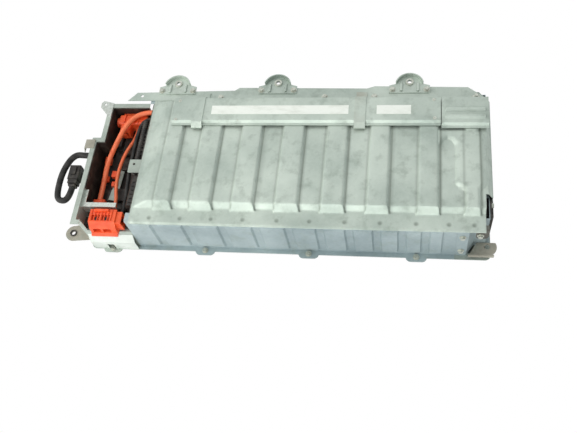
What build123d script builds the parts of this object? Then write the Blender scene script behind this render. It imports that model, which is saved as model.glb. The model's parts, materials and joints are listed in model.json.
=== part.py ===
"""Hybrid-car traction battery: a pressed galvanised housing over a stack of sealed modules, with an open cable bay.

Millimetres. X runs along the pack (the cable bay is at -X), Y points to the rear, Z is up.
The origin is the centre of the tray's flat underside.
"""
import os

from build123d import *

# ---- housing -------------------------------------------------------------------------------------
SHEET = 1.5  # gauge of every pressed sheet
HALF_LENGTH = 493.0  # half of the tray, along X
HALF_DEPTH = 186.5  # half of the box between the long walls
TRAY_RIM_Z = 18.0  # where the tray's flange meets the walls
TRAY_FLANGE = 15.0  # how far the tray's flange stands out
TRAY_BEAD_Y = (-120.0, -40.0, 40.0, 120.0)
TRAY_BEAD_HEIGHT = 6.0
LEDGE_Z = 152.0  # top of the cover's outer ledge
LEFT_X = -HALF_LENGTH
CAVITY_X = LEFT_X + 136.0  # where the cover stops and the cable bay starts

# ---- top cover pressing --------------------------------------------------------------------------
LEDGE_OUT = 6.5  # how far the ledge stands over the long walls
LEDGE_WIDTH = 44.0  # front ledge, as far as the foot of the slope
REAR_LEDGE_WIDTH = 24.0
SLOPE_RUN = 11.0  # plan width of the slope that rises to the field
FIELD_RISE = 18.0  # field above the ledge
PANEL_RISE = 6.0  # raised panels above the field
COVER_LENGTH = HALF_LENGTH - CAVITY_X
PANELS = ((0.068, 0.052), (0.173, 0.065), (0.293, 0.066), (0.415, 0.068), (0.542, 0.066), (0.665, 0.062),
          (0.801, 0.059))  # start and width of each raised panel, as shares of the cover's length
PANEL_FLANK = 7.0  # plan width of a panel's side
PANEL_TOE = 5.0  # how far a panel's foot runs out over the ledge
COVER_LEFT_FLANK = 34.0
COVER_END_FLANK = 9.0
NECK_X = (HALF_LENGTH - 64, HALF_LENGTH - 29)  # the end panel's neck over the front slope
CORNER_STEP = 17.0  # how far the cover's right edge steps in at the front
CORNER_STEP_Y = -104.0

# ---- front wall ----------------------------------------------------------------------------------
WALL_PAD_DEPTH = 5.0
WALL_PAD_FLANK = 5.0
WALL_PAD_GAP = 13.0
WALL_PAD_COUNT = 9
WALL_PAD_MARGIN_LOW = 14.0
WALL_PAD_MARGIN_HIGH = 8.0
FRONT_WALL_END_X = HALF_LENGTH - 78.0
CORNER_SETBACK = 28.0  # how far the right front corner steps back

# ---- cable bay -----------------------------------------------------------------------------------
BAY_JOG_X = 22.0
BAY_JOG_Y = 44.0
BAY_REAR_Y = HALF_DEPTH - 34.5
BAY_FRONT_Z = 96.0  # lowered front wall, where the lower connector looks out
BAY_RIM = 11.0
BAY_SHELF = 40.0

# ---- brace ---------------------------------------------------------------------------------------
BRACE_SHEET = 2.0
BRACE_FRONT_Y = 76.0
BRACE_REAR_Y = 157.0
BRACE_FOOT = 7.0
BRACE_RISE = 9.0
BRACE_X = (-289.0, HALF_LENGTH - 117)
END_BRACKET_X = (HALF_LENGTH - 115, HALF_LENGTH - 6)
STRAP_X = (-222.0, 184.0)
STRAP_WIDTH = 27.0

# ---- modules -------------------------------------------------------------------------------------
MODULE_PITCH = 28.0
MODULE_COUNT = int((2 * HALF_LENGTH - 312) / MODULE_PITCH)
MODULE_THICK = 27.6
MODULE_DEPTH = 272.0
MODULE_HEIGHT = 118.0
MODULE_FLOOR_Z = 14.0
MODULE_FIRST_X = CAVITY_X + 39
PLATE_THICK = 9.0

# ---- fasteners -----------------------------------------------------------------------------------
BOLT_R = 3.0
BOLT_HEAD_AF = 10.0
BOLT_HEAD_H = 6.0
WASHER_R = 8.0
CLEAR = 0.3  # gap between pieces that nearly touch

FIELD_Z = LEDGE_Z + FIELD_RISE
PANEL_Z = FIELD_Z + PANEL_RISE
WALL_TOP_Z = LEDGE_Z - SHEET
FRONT_Y = -HALF_DEPTH
REAR_Y = HALF_DEPTH
LEDGE_FRONT_Y = FRONT_Y - LEDGE_OUT
SLOPE_FOOT_Y = LEDGE_FRONT_Y + LEDGE_WIDTH
REAR_FOOT_Y = REAR_Y + LEDGE_OUT - REAR_LEDGE_WIDTH
BRACE_TOP_Z = PANEL_Z + BRACE_RISE


def prism_x(outline, x0, x1):
    """A (Y, Z) outline carried along X from x0 to x1."""
    return extrude(Plane.YZ.offset(x0) * make_face(Polyline(*outline, close=True)), x1 - x0)


def prism_y(outline, y0, y1):
    """An (X, Z) outline carried along Y from y0 to y1."""
    return extrude(Plane.XZ.offset(-y1) * make_face(Polyline(*outline, close=True)), y1 - y0)


def prism_z(outline, z0, z1):
    """An (X, Y) outline carried along Z from z0 to z1."""
    return extrude(Plane.XY.offset(z0) * make_face(Polyline(*outline, close=True)), z1 - z0)


def block(x0, x1, y0, y1, z0, z1):
    """An upright block between two corners."""
    return Pos((x0 + x1) / 2, (y0 + y1) / 2, (z0 + z1) / 2) * Box(x1 - x0, y1 - y0, z1 - z0)


def rod(point, axis, radius, length):
    """A round bar that starts at point and runs along axis."""
    return extrude(Plane(point, z_dir=axis) * Circle(radius), length)


def rounded_tab(x0, x1, y0, y1, z0, z1, radius):
    """A flat plate with rounded upright corners."""
    plate = block(x0, x1, y0, y1, z0, z1)
    return fillet(plate.edges().filter_by(Axis.Z), radius)


# ---- housing sheets ------------------------------------------------------------------------------
def tray():
    """The floor pan: an upstand all round, an outward flange with bolt lobes, and upward beads."""
    inner_x, inner_y = HALF_LENGTH - 3 * SHEET, HALF_DEPTH - 3 * SHEET
    pan = block(-inner_x, inner_x, -inner_y, inner_y, 0, TRAY_RIM_Z)
    pan = fillet(pan.edges().filter_by(Axis.Z), 12)
    pan = pan + flange_plate(TRAY_RIM_Z - SHEET, TRAY_RIM_Z)
    well = block(-inner_x + SHEET, inner_x - SHEET, -inner_y + SHEET, inner_y - SHEET, SHEET, TRAY_RIM_Z + 1)
    well = fillet(well.edges().filter_by(Axis.Z), 12 - SHEET)
    pan = pan - well
    for bead_y in TRAY_BEAD_Y:
        pan = pan - tray_bead(bead_y, 0) + (tray_bead(bead_y, 0, SHEET) - tray_bead(bead_y, -1.0))
    return pan






def tray_bead(y, drop, grow=0.0):
    """One long bead of the floor; drop lowers its foot and grow thickens it."""
    half, top = 9.0 + grow, TRAY_BEAD_HEIGHT + grow
    outline = [(y - half, drop), (y - half + 5, top), (y + half - 5, top), (y + half, drop)]
    return prism_x(outline, -HALF_LENGTH + 60 - grow, HALF_LENGTH - 60 + grow)


def flange_plate(z0, z1):
    """The flange outline that the tray and the walls share, with a lobe at each bolt."""
    half_x, half_y = HALF_LENGTH + 6, HALF_DEPTH + TRAY_FLANGE - 4
    plate = rounded_tab(-half_x, half_x, -half_y, half_y, z0, z1, 14)
    for x, y in flange_bolt_points():
        lobe = extrude(Plane.XY.offset(z0) * Pos(x, y) * SlotCenterToCenter(26, 24), z1 - z0)
        plate = plate + lobe
    for x, y in flange_bolt_points():
        plate = plate - rod((x, y, z0 - 1), (0, 0, 1), BOLT_R + CLEAR, z1 - z0 + 2)
    return plate


def flange_bolt_points():
    """Centres of the bolts that hold the walls to the tray, front row then rear row."""
    y = HALF_DEPTH + TRAY_FLANGE - 6
    return [(x, side * y) for side in (-1, 1) for x in (LEFT_X + 53, -196.0, 66.0, 326.0)]


def dome(inset):
    """The raised part of the cover, shrunk by inset on every side, with its panels."""
    foot_z = LEDGE_Z - SHEET - inset * 4
    left, right = CAVITY_X + 9 + inset, HALF_LENGTH - 2 - inset
    top = FIELD_Z - inset
    body = prism_x(
        [
            (SLOPE_FOOT_Y + inset, foot_z),
            (SLOPE_FOOT_Y + inset, LEDGE_Z - inset),
            (SLOPE_FOOT_Y + SLOPE_RUN + inset, top),
            (REAR_FOOT_Y - SLOPE_RUN - inset, top),
            (REAR_FOOT_Y - inset, LEDGE_Z - inset),
            (REAR_FOOT_Y - inset, foot_z),
        ],
        left,
        right,
    )
    ends = [
        (left, foot_z),
        (left, LEDGE_Z - inset),
        (left + COVER_LEFT_FLANK, top),
        (right - COVER_END_FLANK, top),
        (right, LEDGE_Z - inset),
        (right, foot_z),
    ]
    body = body & prism_y(ends, -HALF_DEPTH, HALF_DEPTH)
    for start, width in cover_panels():
        body = body + cover_panel(start, width, inset)
    return body + end_panel(inset)


def end_panel(inset):
    """The broad panel at the right end, round the blind end of the last groove, with a necked front."""
    right, groove = HALF_LENGTH - 14, HALF_LENGTH - 84
    last = CAVITY_X + sum(PANELS[-1]) * COVER_LENGTH
    outline = [
        (last - 8, 24),
        (last - 8, 71),
        (right - 26, 71),
        (right - 8, 62),
        (right, 42),
        (right - 1, -82),
        (NECK_X[1], -98),
        (NECK_X[0], -98),
        (groove, -81),
        (groove, 24),
        (groove - 7, 38),
        (groove - 17, 43),
        (groove - 26, 38),
        (last + 2, 24),
    ]
    face = Plane.XY.offset(FIELD_Z - 2 - inset) * make_face(Polyline(*outline, close=True))
    return extrude(face, PANEL_RISE + 2, taper=35)


def cover_panels():
    """(start, width) of each raised panel along X, with the end panel's neck last."""
    panels = [(CAVITY_X + start * COVER_LENGTH, width * COVER_LENGTH) for start, width in PANELS]
    return panels + [(NECK_X[0], NECK_X[1] - NECK_X[0])]


def cover_panel(start, width, inset):
    """One raised panel: a trapezium across X, met with the side profile that forms its front facet."""
    low, high = LEDGE_Z - inset, PANEL_Z - inset
    across = prism_y(
        [
            (start + inset, low - 2),
            (start + inset, FIELD_Z - inset),
            (start + PANEL_FLANK + inset, high),
            (start + width - PANEL_FLANK - inset, high),
            (start + width - inset, FIELD_Z - inset),
            (start + width - inset, low - 2),
        ],
        -HALF_DEPTH,
        HALF_DEPTH,
    )
    toe = SLOPE_FOOT_Y - PANEL_TOE + inset
    along = prism_x(
        [
            (toe, low - 2),
            (toe, low),
            (toe + SLOPE_RUN + 2, high),
            (BRACE_REAR_Y - 8 - inset, high),
            (BRACE_REAR_Y - inset, FIELD_Z - inset),
            (BRACE_REAR_Y - inset, low - 2),
        ],
        start,
        start + width,
    )
    return across & along


def top_cover():
    """The ribbed lid: ledges front and rear, the domed field with its panels, and lips at both ends."""
    x0, x1 = CAVITY_X, HALF_LENGTH
    y0, y1 = LEDGE_FRONT_Y, REAR_Y + LEDGE_OUT
    outline = [
        (x0, y0),
        (x1 - CORNER_STEP, y0),
        (x1 - CORNER_STEP, CORNER_STEP_Y),
        (x1, CORNER_STEP_Y),
        (x1, y1 - 30),
        (x1 - 24, y1),
        (x0, y1),
    ]
    sheet = prism_z(outline, LEDGE_Z - SHEET, LEDGE_Z) + dome(0) - dome(SHEET)
    sheet = sheet & prism_z(outline, LEDGE_Z - 20, LEDGE_Z + 60)
    right_lip = block(x1 - SHEET, x1, CORNER_STEP_Y, y1 - 30, LEDGE_Z - 24, LEDGE_Z)
    tab = rounded_tab(CAVITY_X - 31, CAVITY_X + 1, -50, -12, LEDGE_Z - SHEET, LEDGE_Z, 4)
    tab = tab + block(CAVITY_X - 4, CAVITY_X + 1, -50, -12, LEDGE_Z - SHEET, LEDGE_Z)
    tab = tab - rod((CAVITY_X - 18, -25, LEDGE_Z - 5), (0, 0, 1), 3.2, 10)
    sheet = sheet + right_lip + tab
    for x in COVER_BOLT_X:
        sheet = sheet - rod((x, COVER_BOLT_Y, LEDGE_Z - 5), (0, 0, 1), BOLT_R + CLEAR, 10)
    x, y = CORNER_STUD
    return sheet - rod((x, y, LEDGE_Z - 5), (0, 0, 1), 8.5, 10)


CORNER_STUD = (HALF_LENGTH - 32, 172.0)
COVER_BOLT_X = (-180.0, 90.0, 215.0)
COVER_BOLT_Y = REAR_Y - 7


def wall_pads():
    """(start, end) along X of each pad pressed into the front wall; they narrow towards the right."""
    length = FRONT_WALL_END_X - WALL_START_X
    spans, start = [], WALL_START_X + 0.02 * length
    for share in (0.08, 0.1) + tuple(0.1123 - 0.0064 * n for n in range(WALL_PAD_COUNT)):
        spans.append((start, start + share * length - WALL_PAD_GAP))
        start += share * length
    return spans


def wall_pad(span, side, inset):
    """A shallow pad that stands out of a long wall; side is -1 at the front and 1 at the rear."""
    x0, x1 = span[0] + inset, span[1] - inset
    low = TRAY_RIM_Z + WALL_PAD_MARGIN_LOW + inset
    high = WALL_TOP_Z - WALL_PAD_MARGIN_HIGH - inset
    face, out = HALF_DEPTH - SHEET, HALF_DEPTH + WALL_PAD_DEPTH - inset
    flank = WALL_PAD_FLANK
    plan = [(x0, face), (x0 + flank, out), (x1 - flank, out), (x1, face)]
    rise = [(face, low), (out, low + flank), (out, high - flank), (face, high)]
    pad = prism_z([(x, side * y) for x, y in plan], low, high)
    return pad & prism_x([(side * y, z) for y, z in rise], x0, x1)


def long_wall(side, x0, x1, spans):
    """A pressed wall: foot flange on the tray, padded web, and a top flange under the cover."""
    y_out, y_in = HALF_DEPTH, HALF_DEPTH - SHEET
    web = [
        (y_out + TRAY_FLANGE - 4, TRAY_RIM_Z),
        (y_in, TRAY_RIM_Z),
        (y_in, WALL_TOP_Z - SHEET),
        (y_in - 22, WALL_TOP_Z - SHEET),
        (y_in - 22, WALL_TOP_Z),
        (y_out, WALL_TOP_Z),
        (y_out, TRAY_RIM_Z + SHEET),
        (y_out + TRAY_FLANGE - 4, TRAY_RIM_Z + SHEET),
    ]
    wall = prism_x([(side * y, z) for y, z in web], x0, x1)
    for x, y in flange_bolt_points():
        if x0 < x < x1 and y * side > 0:
            lobe = extrude(Plane.XY.offset(TRAY_RIM_Z) * Pos(x, y) * SlotCenterToCenter(26, 24), SHEET)
            lobe = lobe & block(x0, x1, *sorted((side * y_out, side * (y_out + 60))), 0, 200)
            wall = wall + lobe - rod((x, y, TRAY_RIM_Z - 1), (0, 0, 1), BOLT_R + CLEAR, SHEET + 2)
    for span in spans:
        wall = wall + wall_pad(span, side, 0) - wall_pad(span, side, SHEET)
    return wall


def rear_wall():
    """The rear long wall, drilled for the cover's bolts."""
    wall = long_wall(1, WALL_START_X, HALF_LENGTH - 21, wall_pads())
    for x in COVER_BOLT_X:
        wall = wall - rod((x, COVER_BOLT_Y, WALL_TOP_Z - 5), (0, 0, 1), BOLT_R + CLEAR, 10)
    return wall


WALL_START_X = CAVITY_X - 12 + CLEAR


def right_end_wall():
    """The wall that closes the right end, with a duct window and a setback at the front corner."""
    x = HALF_LENGTH - 8
    y0, y1 = FRONT_Y + CORNER_SETBACK + 2, REAR_Y - SHEET - CLEAR
    wall = block(x - SHEET, x, y0, y1, TRAY_RIM_Z, WALL_TOP_Z)
    wall = wall + block(x - 18, x, CORNER_STEP_Y, y1 - 24, WALL_TOP_Z - SHEET, WALL_TOP_Z)
    wall = wall + block(x - SHEET, x + 12, y0 + 6, y1, TRAY_RIM_Z, TRAY_RIM_Z + SHEET)
    return wall - block(x - 5, x + 5, *DUCT_Y, *DUCT_Z)


DUCT_Y = (FRONT_Y + 46.5, -8.0)
DUCT_LIP = 7.0
DUCT_Z = (46.0, 126.0)


def corner_wall():
    """The cranked sheet that joins the front wall to the right end wall round the setback corner."""
    plan = [
        (FRONT_WALL_END_X + CLEAR, FRONT_Y),
        (FRONT_WALL_END_X + 26, FRONT_Y),
        (FRONT_WALL_END_X + 44, FRONT_Y + CORNER_SETBACK),
        (HALF_LENGTH - 8, FRONT_Y + CORNER_SETBACK),
        (HALF_LENGTH - 8, FRONT_Y + CORNER_SETBACK + SHEET),
        (FRONT_WALL_END_X + 43, FRONT_Y + CORNER_SETBACK + SHEET),
        (FRONT_WALL_END_X + 25, FRONT_Y + SHEET),
        (FRONT_WALL_END_X + CLEAR, FRONT_Y + SHEET),
    ]
    wall = prism_z(plan, TRAY_RIM_Z, WALL_TOP_Z)
    for x, z in FOOT_BOLTS_XZ:
        wall = wall - rod((x, FRONT_Y - 5, z), (0, 1, 0), BOLT_R + CLEAR, 10)
    return wall


FOOT_BOLTS_XZ = ((HALF_LENGTH - 65, 112.0), (HALF_LENGTH - 65, 44.0))


def bay_outline(grow):
    """Plan of the cable bay, grown outwards by grow on its three walled sides."""
    left = -HALF_LENGTH - grow
    right = CAVITY_X - 12
    return [
        (right, FRONT_Y - grow),
        (left, FRONT_Y - grow),
        (left, BAY_JOG_Y + grow),
        (left + BAY_JOG_X, BAY_JOG_Y + grow),
        (left + BAY_JOG_X, BAY_REAR_Y + grow),
        (right, BAY_REAR_Y + grow),
    ]


def bay_frame():
    """The three-sided wall of the cable bay with its turned-out rim; the front is cut down to a shelf."""
    wall = prism_z(bay_outline(0), TRAY_RIM_Z, WALL_TOP_Z) - prism_z(bay_cavity(), TRAY_RIM_Z - 1, LEDGE_Z)
    rim = prism_z(bay_outline(BAY_RIM), WALL_TOP_Z - SHEET, WALL_TOP_Z) - prism_z(bay_cavity(), 0, LEDGE_Z)
    frame = wall + rim
    cut = block(-HALF_LENGTH + 12, CAVITY_X, FRONT_Y - BAY_RIM - 1, FRONT_Y + BAY_SHELF, BAY_FRONT_Z, LEDGE_Z)
    frame = frame - cut
    shelf = block(-HALF_LENGTH + SHEET, CAVITY_X - 12, FRONT_Y, FRONT_Y + BAY_SHELF, BAY_FRONT_Z - SHEET, BAY_FRONT_Z)
    return frame + shelf


def bay_cavity():
    """Plan of the space inside the bay's walls."""
    (right, front), (left, _), (_, jog_y), (jog_x, _), (_, rear), _ = bay_outline(-SHEET)
    return [(right + 1, front), (left, front), (left, jog_y), (jog_x, jog_y), (jog_x, rear), (right + 1, rear)]


def bay_bulkhead():
    """The sheet between the bay and the stack; it stands on the tray's beads."""
    y = HALF_DEPTH - SHEET - CLEAR
    low = TRAY_BEAD_HEIGHT + SHEET
    top = WALL_TOP_Z - SHEET
    outline = [(-y, TRAY_RIM_Z + 4), (-y + 22, low), (y - 22, low), (y, TRAY_RIM_Z + 4), (y, top), (y - 24, top),
               (y - 24, WALL_TOP_Z), (-y + 24, WALL_TOP_Z), (-y + 24, top), (-y, top)]
    return prism_x(outline, CAVITY_X - 3, CAVITY_X - 3 + SHEET)


def bay_bridge():
    """The bright angle that crosses the bay behind the lower connector."""
    y = FRONT_Y + BAY_SHELF + 4
    profile = [(y, 112), (y, 140), (y + 12, 140), (y + 12, 138), (y + 2, 138), (y + 2, 112)]
    rail = prism_x(profile, LEFT_X + SHEET, CAVITY_X - 46)
    return rail + block(LEFT_X + SHEET, LEFT_X + 10, y, y + 48, 138, 140)


def bay_liner():
    """The black insulating sheet inside the bay's left wall."""
    y0, top = FRONT_Y + BAY_SHELF + 4 + 12 + CLEAR, WALL_TOP_Z - 3
    x, jog = LEFT_X + SHEET, LEFT_X + BAY_JOG_X + SHEET
    jog_y = BAY_JOG_Y - SHEET
    plan = [(x, y0), (x, jog_y), (jog, jog_y), (jog, BAY_REAR_Y - SHEET), (jog + 2, BAY_REAR_Y - SHEET),
            (jog + 2, jog_y - 2), (x + 2, jog_y - 2), (x + 2, y0)]
    liner = prism_z(plan, TRAY_RIM_Z + 4, top)
    return liner - block(LEFT_X, LEFT_X + 11, y0 - 1, FRONT_Y + BAY_SHELF + 54, 137.5, 200)


def shelf_foam():
    """The two foam blocks that seal the gaps beside the lower connector."""
    y = FRONT_Y + 6
    low, high = BAY_FRONT_Z + 0.1, BAY_FRONT_Z + 7
    left = block(LEFT_X + SHEET + CLEAR, LOWER_X[0] - CLEAR, y, y + 28, low, high)
    right = block(LOWER_X[1] + 14 + CLEAR, CAVITY_X - 13, y, y + 28, low, high)
    return group([left, right])


def rear_flange():
    """The long drilled strip along the rear edge; its rear edge steps out in two places."""
    right = HALF_LENGTH
    outline = [(LEFT_X + 61, 171), (LEFT_X + 83, 197), (-146, 202), (-134, 211), (195, 206), (215, 213),
               (right - 50, 208), (right - 27, 190), (right - 53, 171)]
    strip = prism_z(outline, LEDGE_Z, STRIP_Z)
    for x in COVER_BOLT_X:
        strip = strip - rod((x, COVER_BOLT_Y, LEDGE_Z - 5), (0, 0, 1), BOLT_R + CLEAR, 10)
    return strip - rod((LEFT_X + 98, 186, LEDGE_Z - 5), (0, 0, 1), 4, 10)


STRIP_Z = LEDGE_Z + SHEET


def bay_front_step():
    """The sloping kick panel that closes the lowered front of the bay."""
    profile = [
        (FRONT_Y - 10, TRAY_RIM_Z),
        (FRONT_Y - 10, 52),
        (FRONT_Y - CLEAR, 78),
        (FRONT_Y - CLEAR, 76),
        (FRONT_Y - 8, 51),
        (FRONT_Y - 8, TRAY_RIM_Z),
    ]
    step = prism_x(profile, -HALF_LENGTH + 4, CAVITY_X - 14)
    for x, y in flange_bolt_points():
        step = step - rod((x, y, 0), (0, 0, 1), WASHER_R + 1, 40)
    return step


# ---- brace and brackets --------------------------------------------------------------------------
def channel(x0, x1, y0, y1, rise):
    """A shallow hat channel that stands on the raised panels."""
    base, top, t = PANEL_Z, PANEL_Z + rise, BRACE_SHEET
    outline = [
        (y0, base),
        (y0 + BRACE_FOOT, base),
        (y0 + BRACE_FOOT + 4, top - t),
        (y1 - 6, top - t),
        (y1 - 2, base),
        (y1, base),
        (y1, base + t),
        (y1 - 3, top),
        (y0 + BRACE_FOOT + 3, top),
        (y0 + BRACE_FOOT - 1, base + t),
        (y0, base + t),
    ]
    return prism_x(outline, x0, x1)


def rear_brace():
    """The long hat channel across the rear of the cover."""
    return channel(*BRACE_X, BRACE_FRONT_Y, BRACE_REAR_Y, BRACE_RISE)


def brace_end_bracket():
    """The right-hand continuation of the brace, stiffened by two ribs along it."""
    x0, x1 = END_BRACKET_X
    bracket = channel(x0, x1, BRACE_FRONT_Y - 7, BRACE_REAR_Y, BRACE_RISE)
    for y in (98.0, 118.0):
        rib = prism_x([(y - 8, BRACE_TOP_Z), (y - 3, BRACE_TOP_Z + 5), (y + 3, BRACE_TOP_Z + 5), (y + 8, BRACE_TOP_Z)],
                      x0 + 8, x1 - 8)
        bracket = bracket + rib
    return bracket


def strap(x):
    """A cross strap over the brace, cranked down to the rear ledge."""
    t, top = BRACE_SHEET, BRACE_TOP_Z
    path = [
        (BRACE_FRONT_Y - 9, PANEL_Z),
        (BRACE_FRONT_Y - CLEAR, PANEL_Z),
        (BRACE_FRONT_Y - CLEAR, PANEL_Z + t),
        (BRACE_FRONT_Y + 6, top),
        (BRACE_REAR_Y - 3, top),
        (REAR_FOOT_Y + 3, STRIP_Z + 3),
        (REAR_FOOT_Y + 6, STRIP_Z),
        (REAR_FOOT_Y + 24, STRIP_Z),
        (REAR_FOOT_Y + 24, STRIP_Z + t),
        (REAR_FOOT_Y + 7, STRIP_Z + t),
        (REAR_FOOT_Y + 5, STRIP_Z + 5),
        (BRACE_REAR_Y - 2, top + t),
        (BRACE_FRONT_Y + 4, top + t),
        (BRACE_FRONT_Y - 9, PANEL_Z + t + 1),
    ]
    return prism_x(path, x - STRAP_WIDTH / 2, x + STRAP_WIDTH / 2)


LABEL_THICK = 0.4


def label(x0, x1, y0, y1):
    """A plain sheet label on the flat top of the brace."""
    return block(x0, x1, y0, y1, BRACE_TOP_Z, BRACE_TOP_Z + LABEL_THICK)


REAR_BRACKET_X = (-300.0, -33.0, 301.0)
HANGER_HALF = 50.0
HANGER_CAP_HALF = 34.0
HANGER_CAP_Y = REAR_Y + 31.5
HANGER_REACH = 26.0
HANGER_BOLT = 42.0
HANGER_SHEET = 2.5
HANGER_HOLE_R = 5.5


def hanger_cap(x, inset, height):
    """The rounded end of a hanger, shrunk by inset and height tall."""
    half = HANGER_CAP_HALF - inset
    arc = ThreePointArc((x - half, HANGER_CAP_Y), (x, HANGER_CAP_Y + HANGER_REACH - inset), (x + half, HANGER_CAP_Y))
    face = make_face([arc, Line((x + half, HANGER_CAP_Y), (x - half, HANGER_CAP_Y))])
    return extrude(Plane.XY.offset(STRIP_Z) * face, height)


def arch_bracket(x):
    """A hanger on the rear strip: a bolted plate with a round end, a pressed rim and a hole for the body bolt."""
    y0, y1 = REAR_Y + 3.5, REAR_Y + 26.5
    outline = [(x - HANGER_HALF, y0), (x + HANGER_HALF, y0), (x + HANGER_HALF, y1), (x + HANGER_CAP_HALF, HANGER_CAP_Y),
               (x - HANGER_CAP_HALF, HANGER_CAP_Y), (x - HANGER_HALF, y1)]
    plate = prism_z(outline, STRIP_Z, STRIP_Z + HANGER_SHEET) + hanger_cap(x, 0, HANGER_SHEET)
    plate = plate + (hanger_cap(x, 0, 13) - hanger_cap(x, HANGER_SHEET, 14))
    plate = plate - rod((x, HANGER_CAP_Y + 4, STRIP_Z - 1), (0, 0, 1), HANGER_HOLE_R, 5)
    for side in (-1, 1):
        at = (x + side * HANGER_BOLT, REAR_Y + 13.5, STRIP_Z - 1)
        plate = plate - rod(at, (0, 0, 1), BOLT_R + CLEAR, 5)
    return plate


def foot_plate(points, z0, z1, hole, hole_r):
    """A flat mounting foot from a plan outline, with one bolt hole."""
    plate = prism_z(points, z0, z1)
    return plate - rod((*hole, z0 - 1), (0, 0, 1), hole_r, z1 - z0 + 2)


FRONT_FOOT_HOLE = (LEFT_X - 56, -166.0)
FRONT_FOOT_R = 5.5


def front_left_foot():
    """The cranked ear beside the bay: a riveted web on the wall and a rounded pad with the bolt hole."""
    x, y = FRONT_FOOT_HOLE
    t = 3.0
    pad = extrude(Plane.XY.offset(34) * Pos(x, y) * Circle(21), t)
    arm = prism_z([(x, y - 21), (-HALF_LENGTH - CLEAR, y - 16), (-HALF_LENGTH - CLEAR, y + 34), (x, y + 21)], 34, 34 + t)
    web = block(-HALF_LENGTH - CLEAR - t, -HALF_LENGTH - CLEAR, y - 16, y + 34, 34, 62)
    return pad + arm + web - rod((x, y, 30), (0, 0, 1), FRONT_FOOT_R, 12)


REAR_EAR_HOLE = (LEFT_X + 1, BAY_REAR_Y + 8)


def rear_left_ear():
    """The small drilled ear at the bay's rear corner, on top of the rim."""
    x, y = REAR_EAR_HOLE
    inner = LEFT_X + BAY_JOG_X + SHEET
    plan = [(x - 11, y - 10), (inner - 6, y - 40), (inner, y - 40), (inner, y + 4), (x - 6, y + 11), (x - 12, y + 4)]
    return foot_plate(plan, WALL_TOP_Z, WALL_TOP_Z + 2, (x, y), 3.4)


def side_ear():
    """The bent ear at the jog of the bay's wall."""
    x, y = -HALF_LENGTH - BAY_RIM, BAY_JOG_Y - 22
    profile = [(x - 22, 132), (x - 20, 132), (x - 14, WALL_TOP_Z), (x + 10, WALL_TOP_Z), (x + 10, WALL_TOP_Z + 2),
               (x - 15, WALL_TOP_Z + 2)]
    return prism_y(profile, y, y + 26)


RIGHT_FOOT_HOLE = (HALF_LENGTH - 3, -170.0)


def right_foot():
    """The long mounting foot at the right front corner, with a turned-up front edge."""
    x, y = RIGHT_FOOT_HOLE
    t, z = 3.0, 30.0
    left = FRONT_WALL_END_X + 30
    plate = prism_z([(left, -196), (x + 14, y - 26), (x, y + 20), (left + 26, -150)], z, z + t)
    pad = extrude(Plane.XY.offset(z) * Pos(x, y) * Circle(22), t)
    lip = prism_z([(left, -196), (x + 14, y - 26), (x + 14, y - 23), (left, -193)], z, z + 10)
    corner = Pos(0, 0, -1) * prism_z([(300, FRONT_Y - CLEAR), (FRONT_WALL_END_X + 26, FRONT_Y - CLEAR),
                                      (FRONT_WALL_END_X + 46, FRONT_Y + CORNER_SETBACK - CLEAR), (600, -158.8), (600, 0),
                                      (300, 0)], z, z + 12)
    foot = plate + pad + lip - corner - rod((x, y, z - 1), (0, 0, 1), 6.5, t + 12)
    return foot


# ---- cable bay contents --------------------------------------------------------------------------
def relay_box():
    """The black relay housing on the bay's floor, with terminal towers and a cover seam."""
    x0, x1 = LEFT_X + 6, CAVITY_X - 30
    towers = (LEFT_X + 40, LEFT_X + 62)
    box = block(x0, x1, -120, 120, TRAY_BEAD_HEIGHT + SHEET, 84)
    box = box - block(x0 - 1, LEFT_X + BAY_JOG_X + 6, BAY_JOG_Y - 6, 130, 0, 100)
    box = chamfer(box.edges().group_by(Axis.Z)[-1], 3)
    for y in (-84.0, -20.0, 70.0):
        box = box + block(*towers, y - 16, y + 16, 84, 92)
    return box


def lower_connector():
    """The orange power connector that looks over the lowered front wall, with its four pockets."""
    (x0, x1), y0, y1 = LOWER_X, FRONT_Y - 9.5, LOWER_FACE_Y
    z0, z1 = BAY_FRONT_Z + 0.1, 138.0
    profile = [(y1, z0), (y0 - 6, z0), (y0 - 6, z0 + 5), (y0, z0 + 8), (y0 + 3, z0 + 26), (y0 + 14, z1), (y1, z1)]
    body = prism_x(profile, x0, x1)
    for column in range(2):
        px = x0 + 8 + column * 26
        body = body - block(px, px + 20, y0 - 8, y0 + 13, z0 + 10, z0 + 23)
        body = body - block(px, px + 20, y0 + 17, y0 + 32, z1 - 6, z1 + 1)
    socket = block(x1, x1 + 14, y0 + 12, y1 - 4, z0 + 4, z1 - 4)
    socket = socket - block(x1 + 4, x1 + 15, y0 + 16, y1 - 8, z0 + 8, z1 - 8)
    return body + socket


def upper_connector():
    """The orange power connector at the rear of the bay, with its round nose and square latch."""
    x0, x1 = LEFT_X + 41, LEFT_X + 115
    body = block(x0, x1, UPPER_FACE_Y, UPPER_FACE_Y + 30, 96, 132)
    body = fillet(body.edges().filter_by(Axis.X), 5)
    nose = rod((x0, UPPER_FACE_Y + 15, 114), (-1, 0, 0), 13, 9)
    latch = block(x0 + 6, x0 + 32, UPPER_FACE_Y - 24, UPPER_FACE_Y, 100, 128)
    latch = latch - block(x0 + 11, x0 + 27, UPPER_FACE_Y - 26, UPPER_FACE_Y - 12, 105, 123)
    foot = block(x0 + 6, x1 - 6, UPPER_FACE_Y + 30, BAY_REAR_Y - SHEET, 102, 126)
    return body + nose + latch + foot


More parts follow.
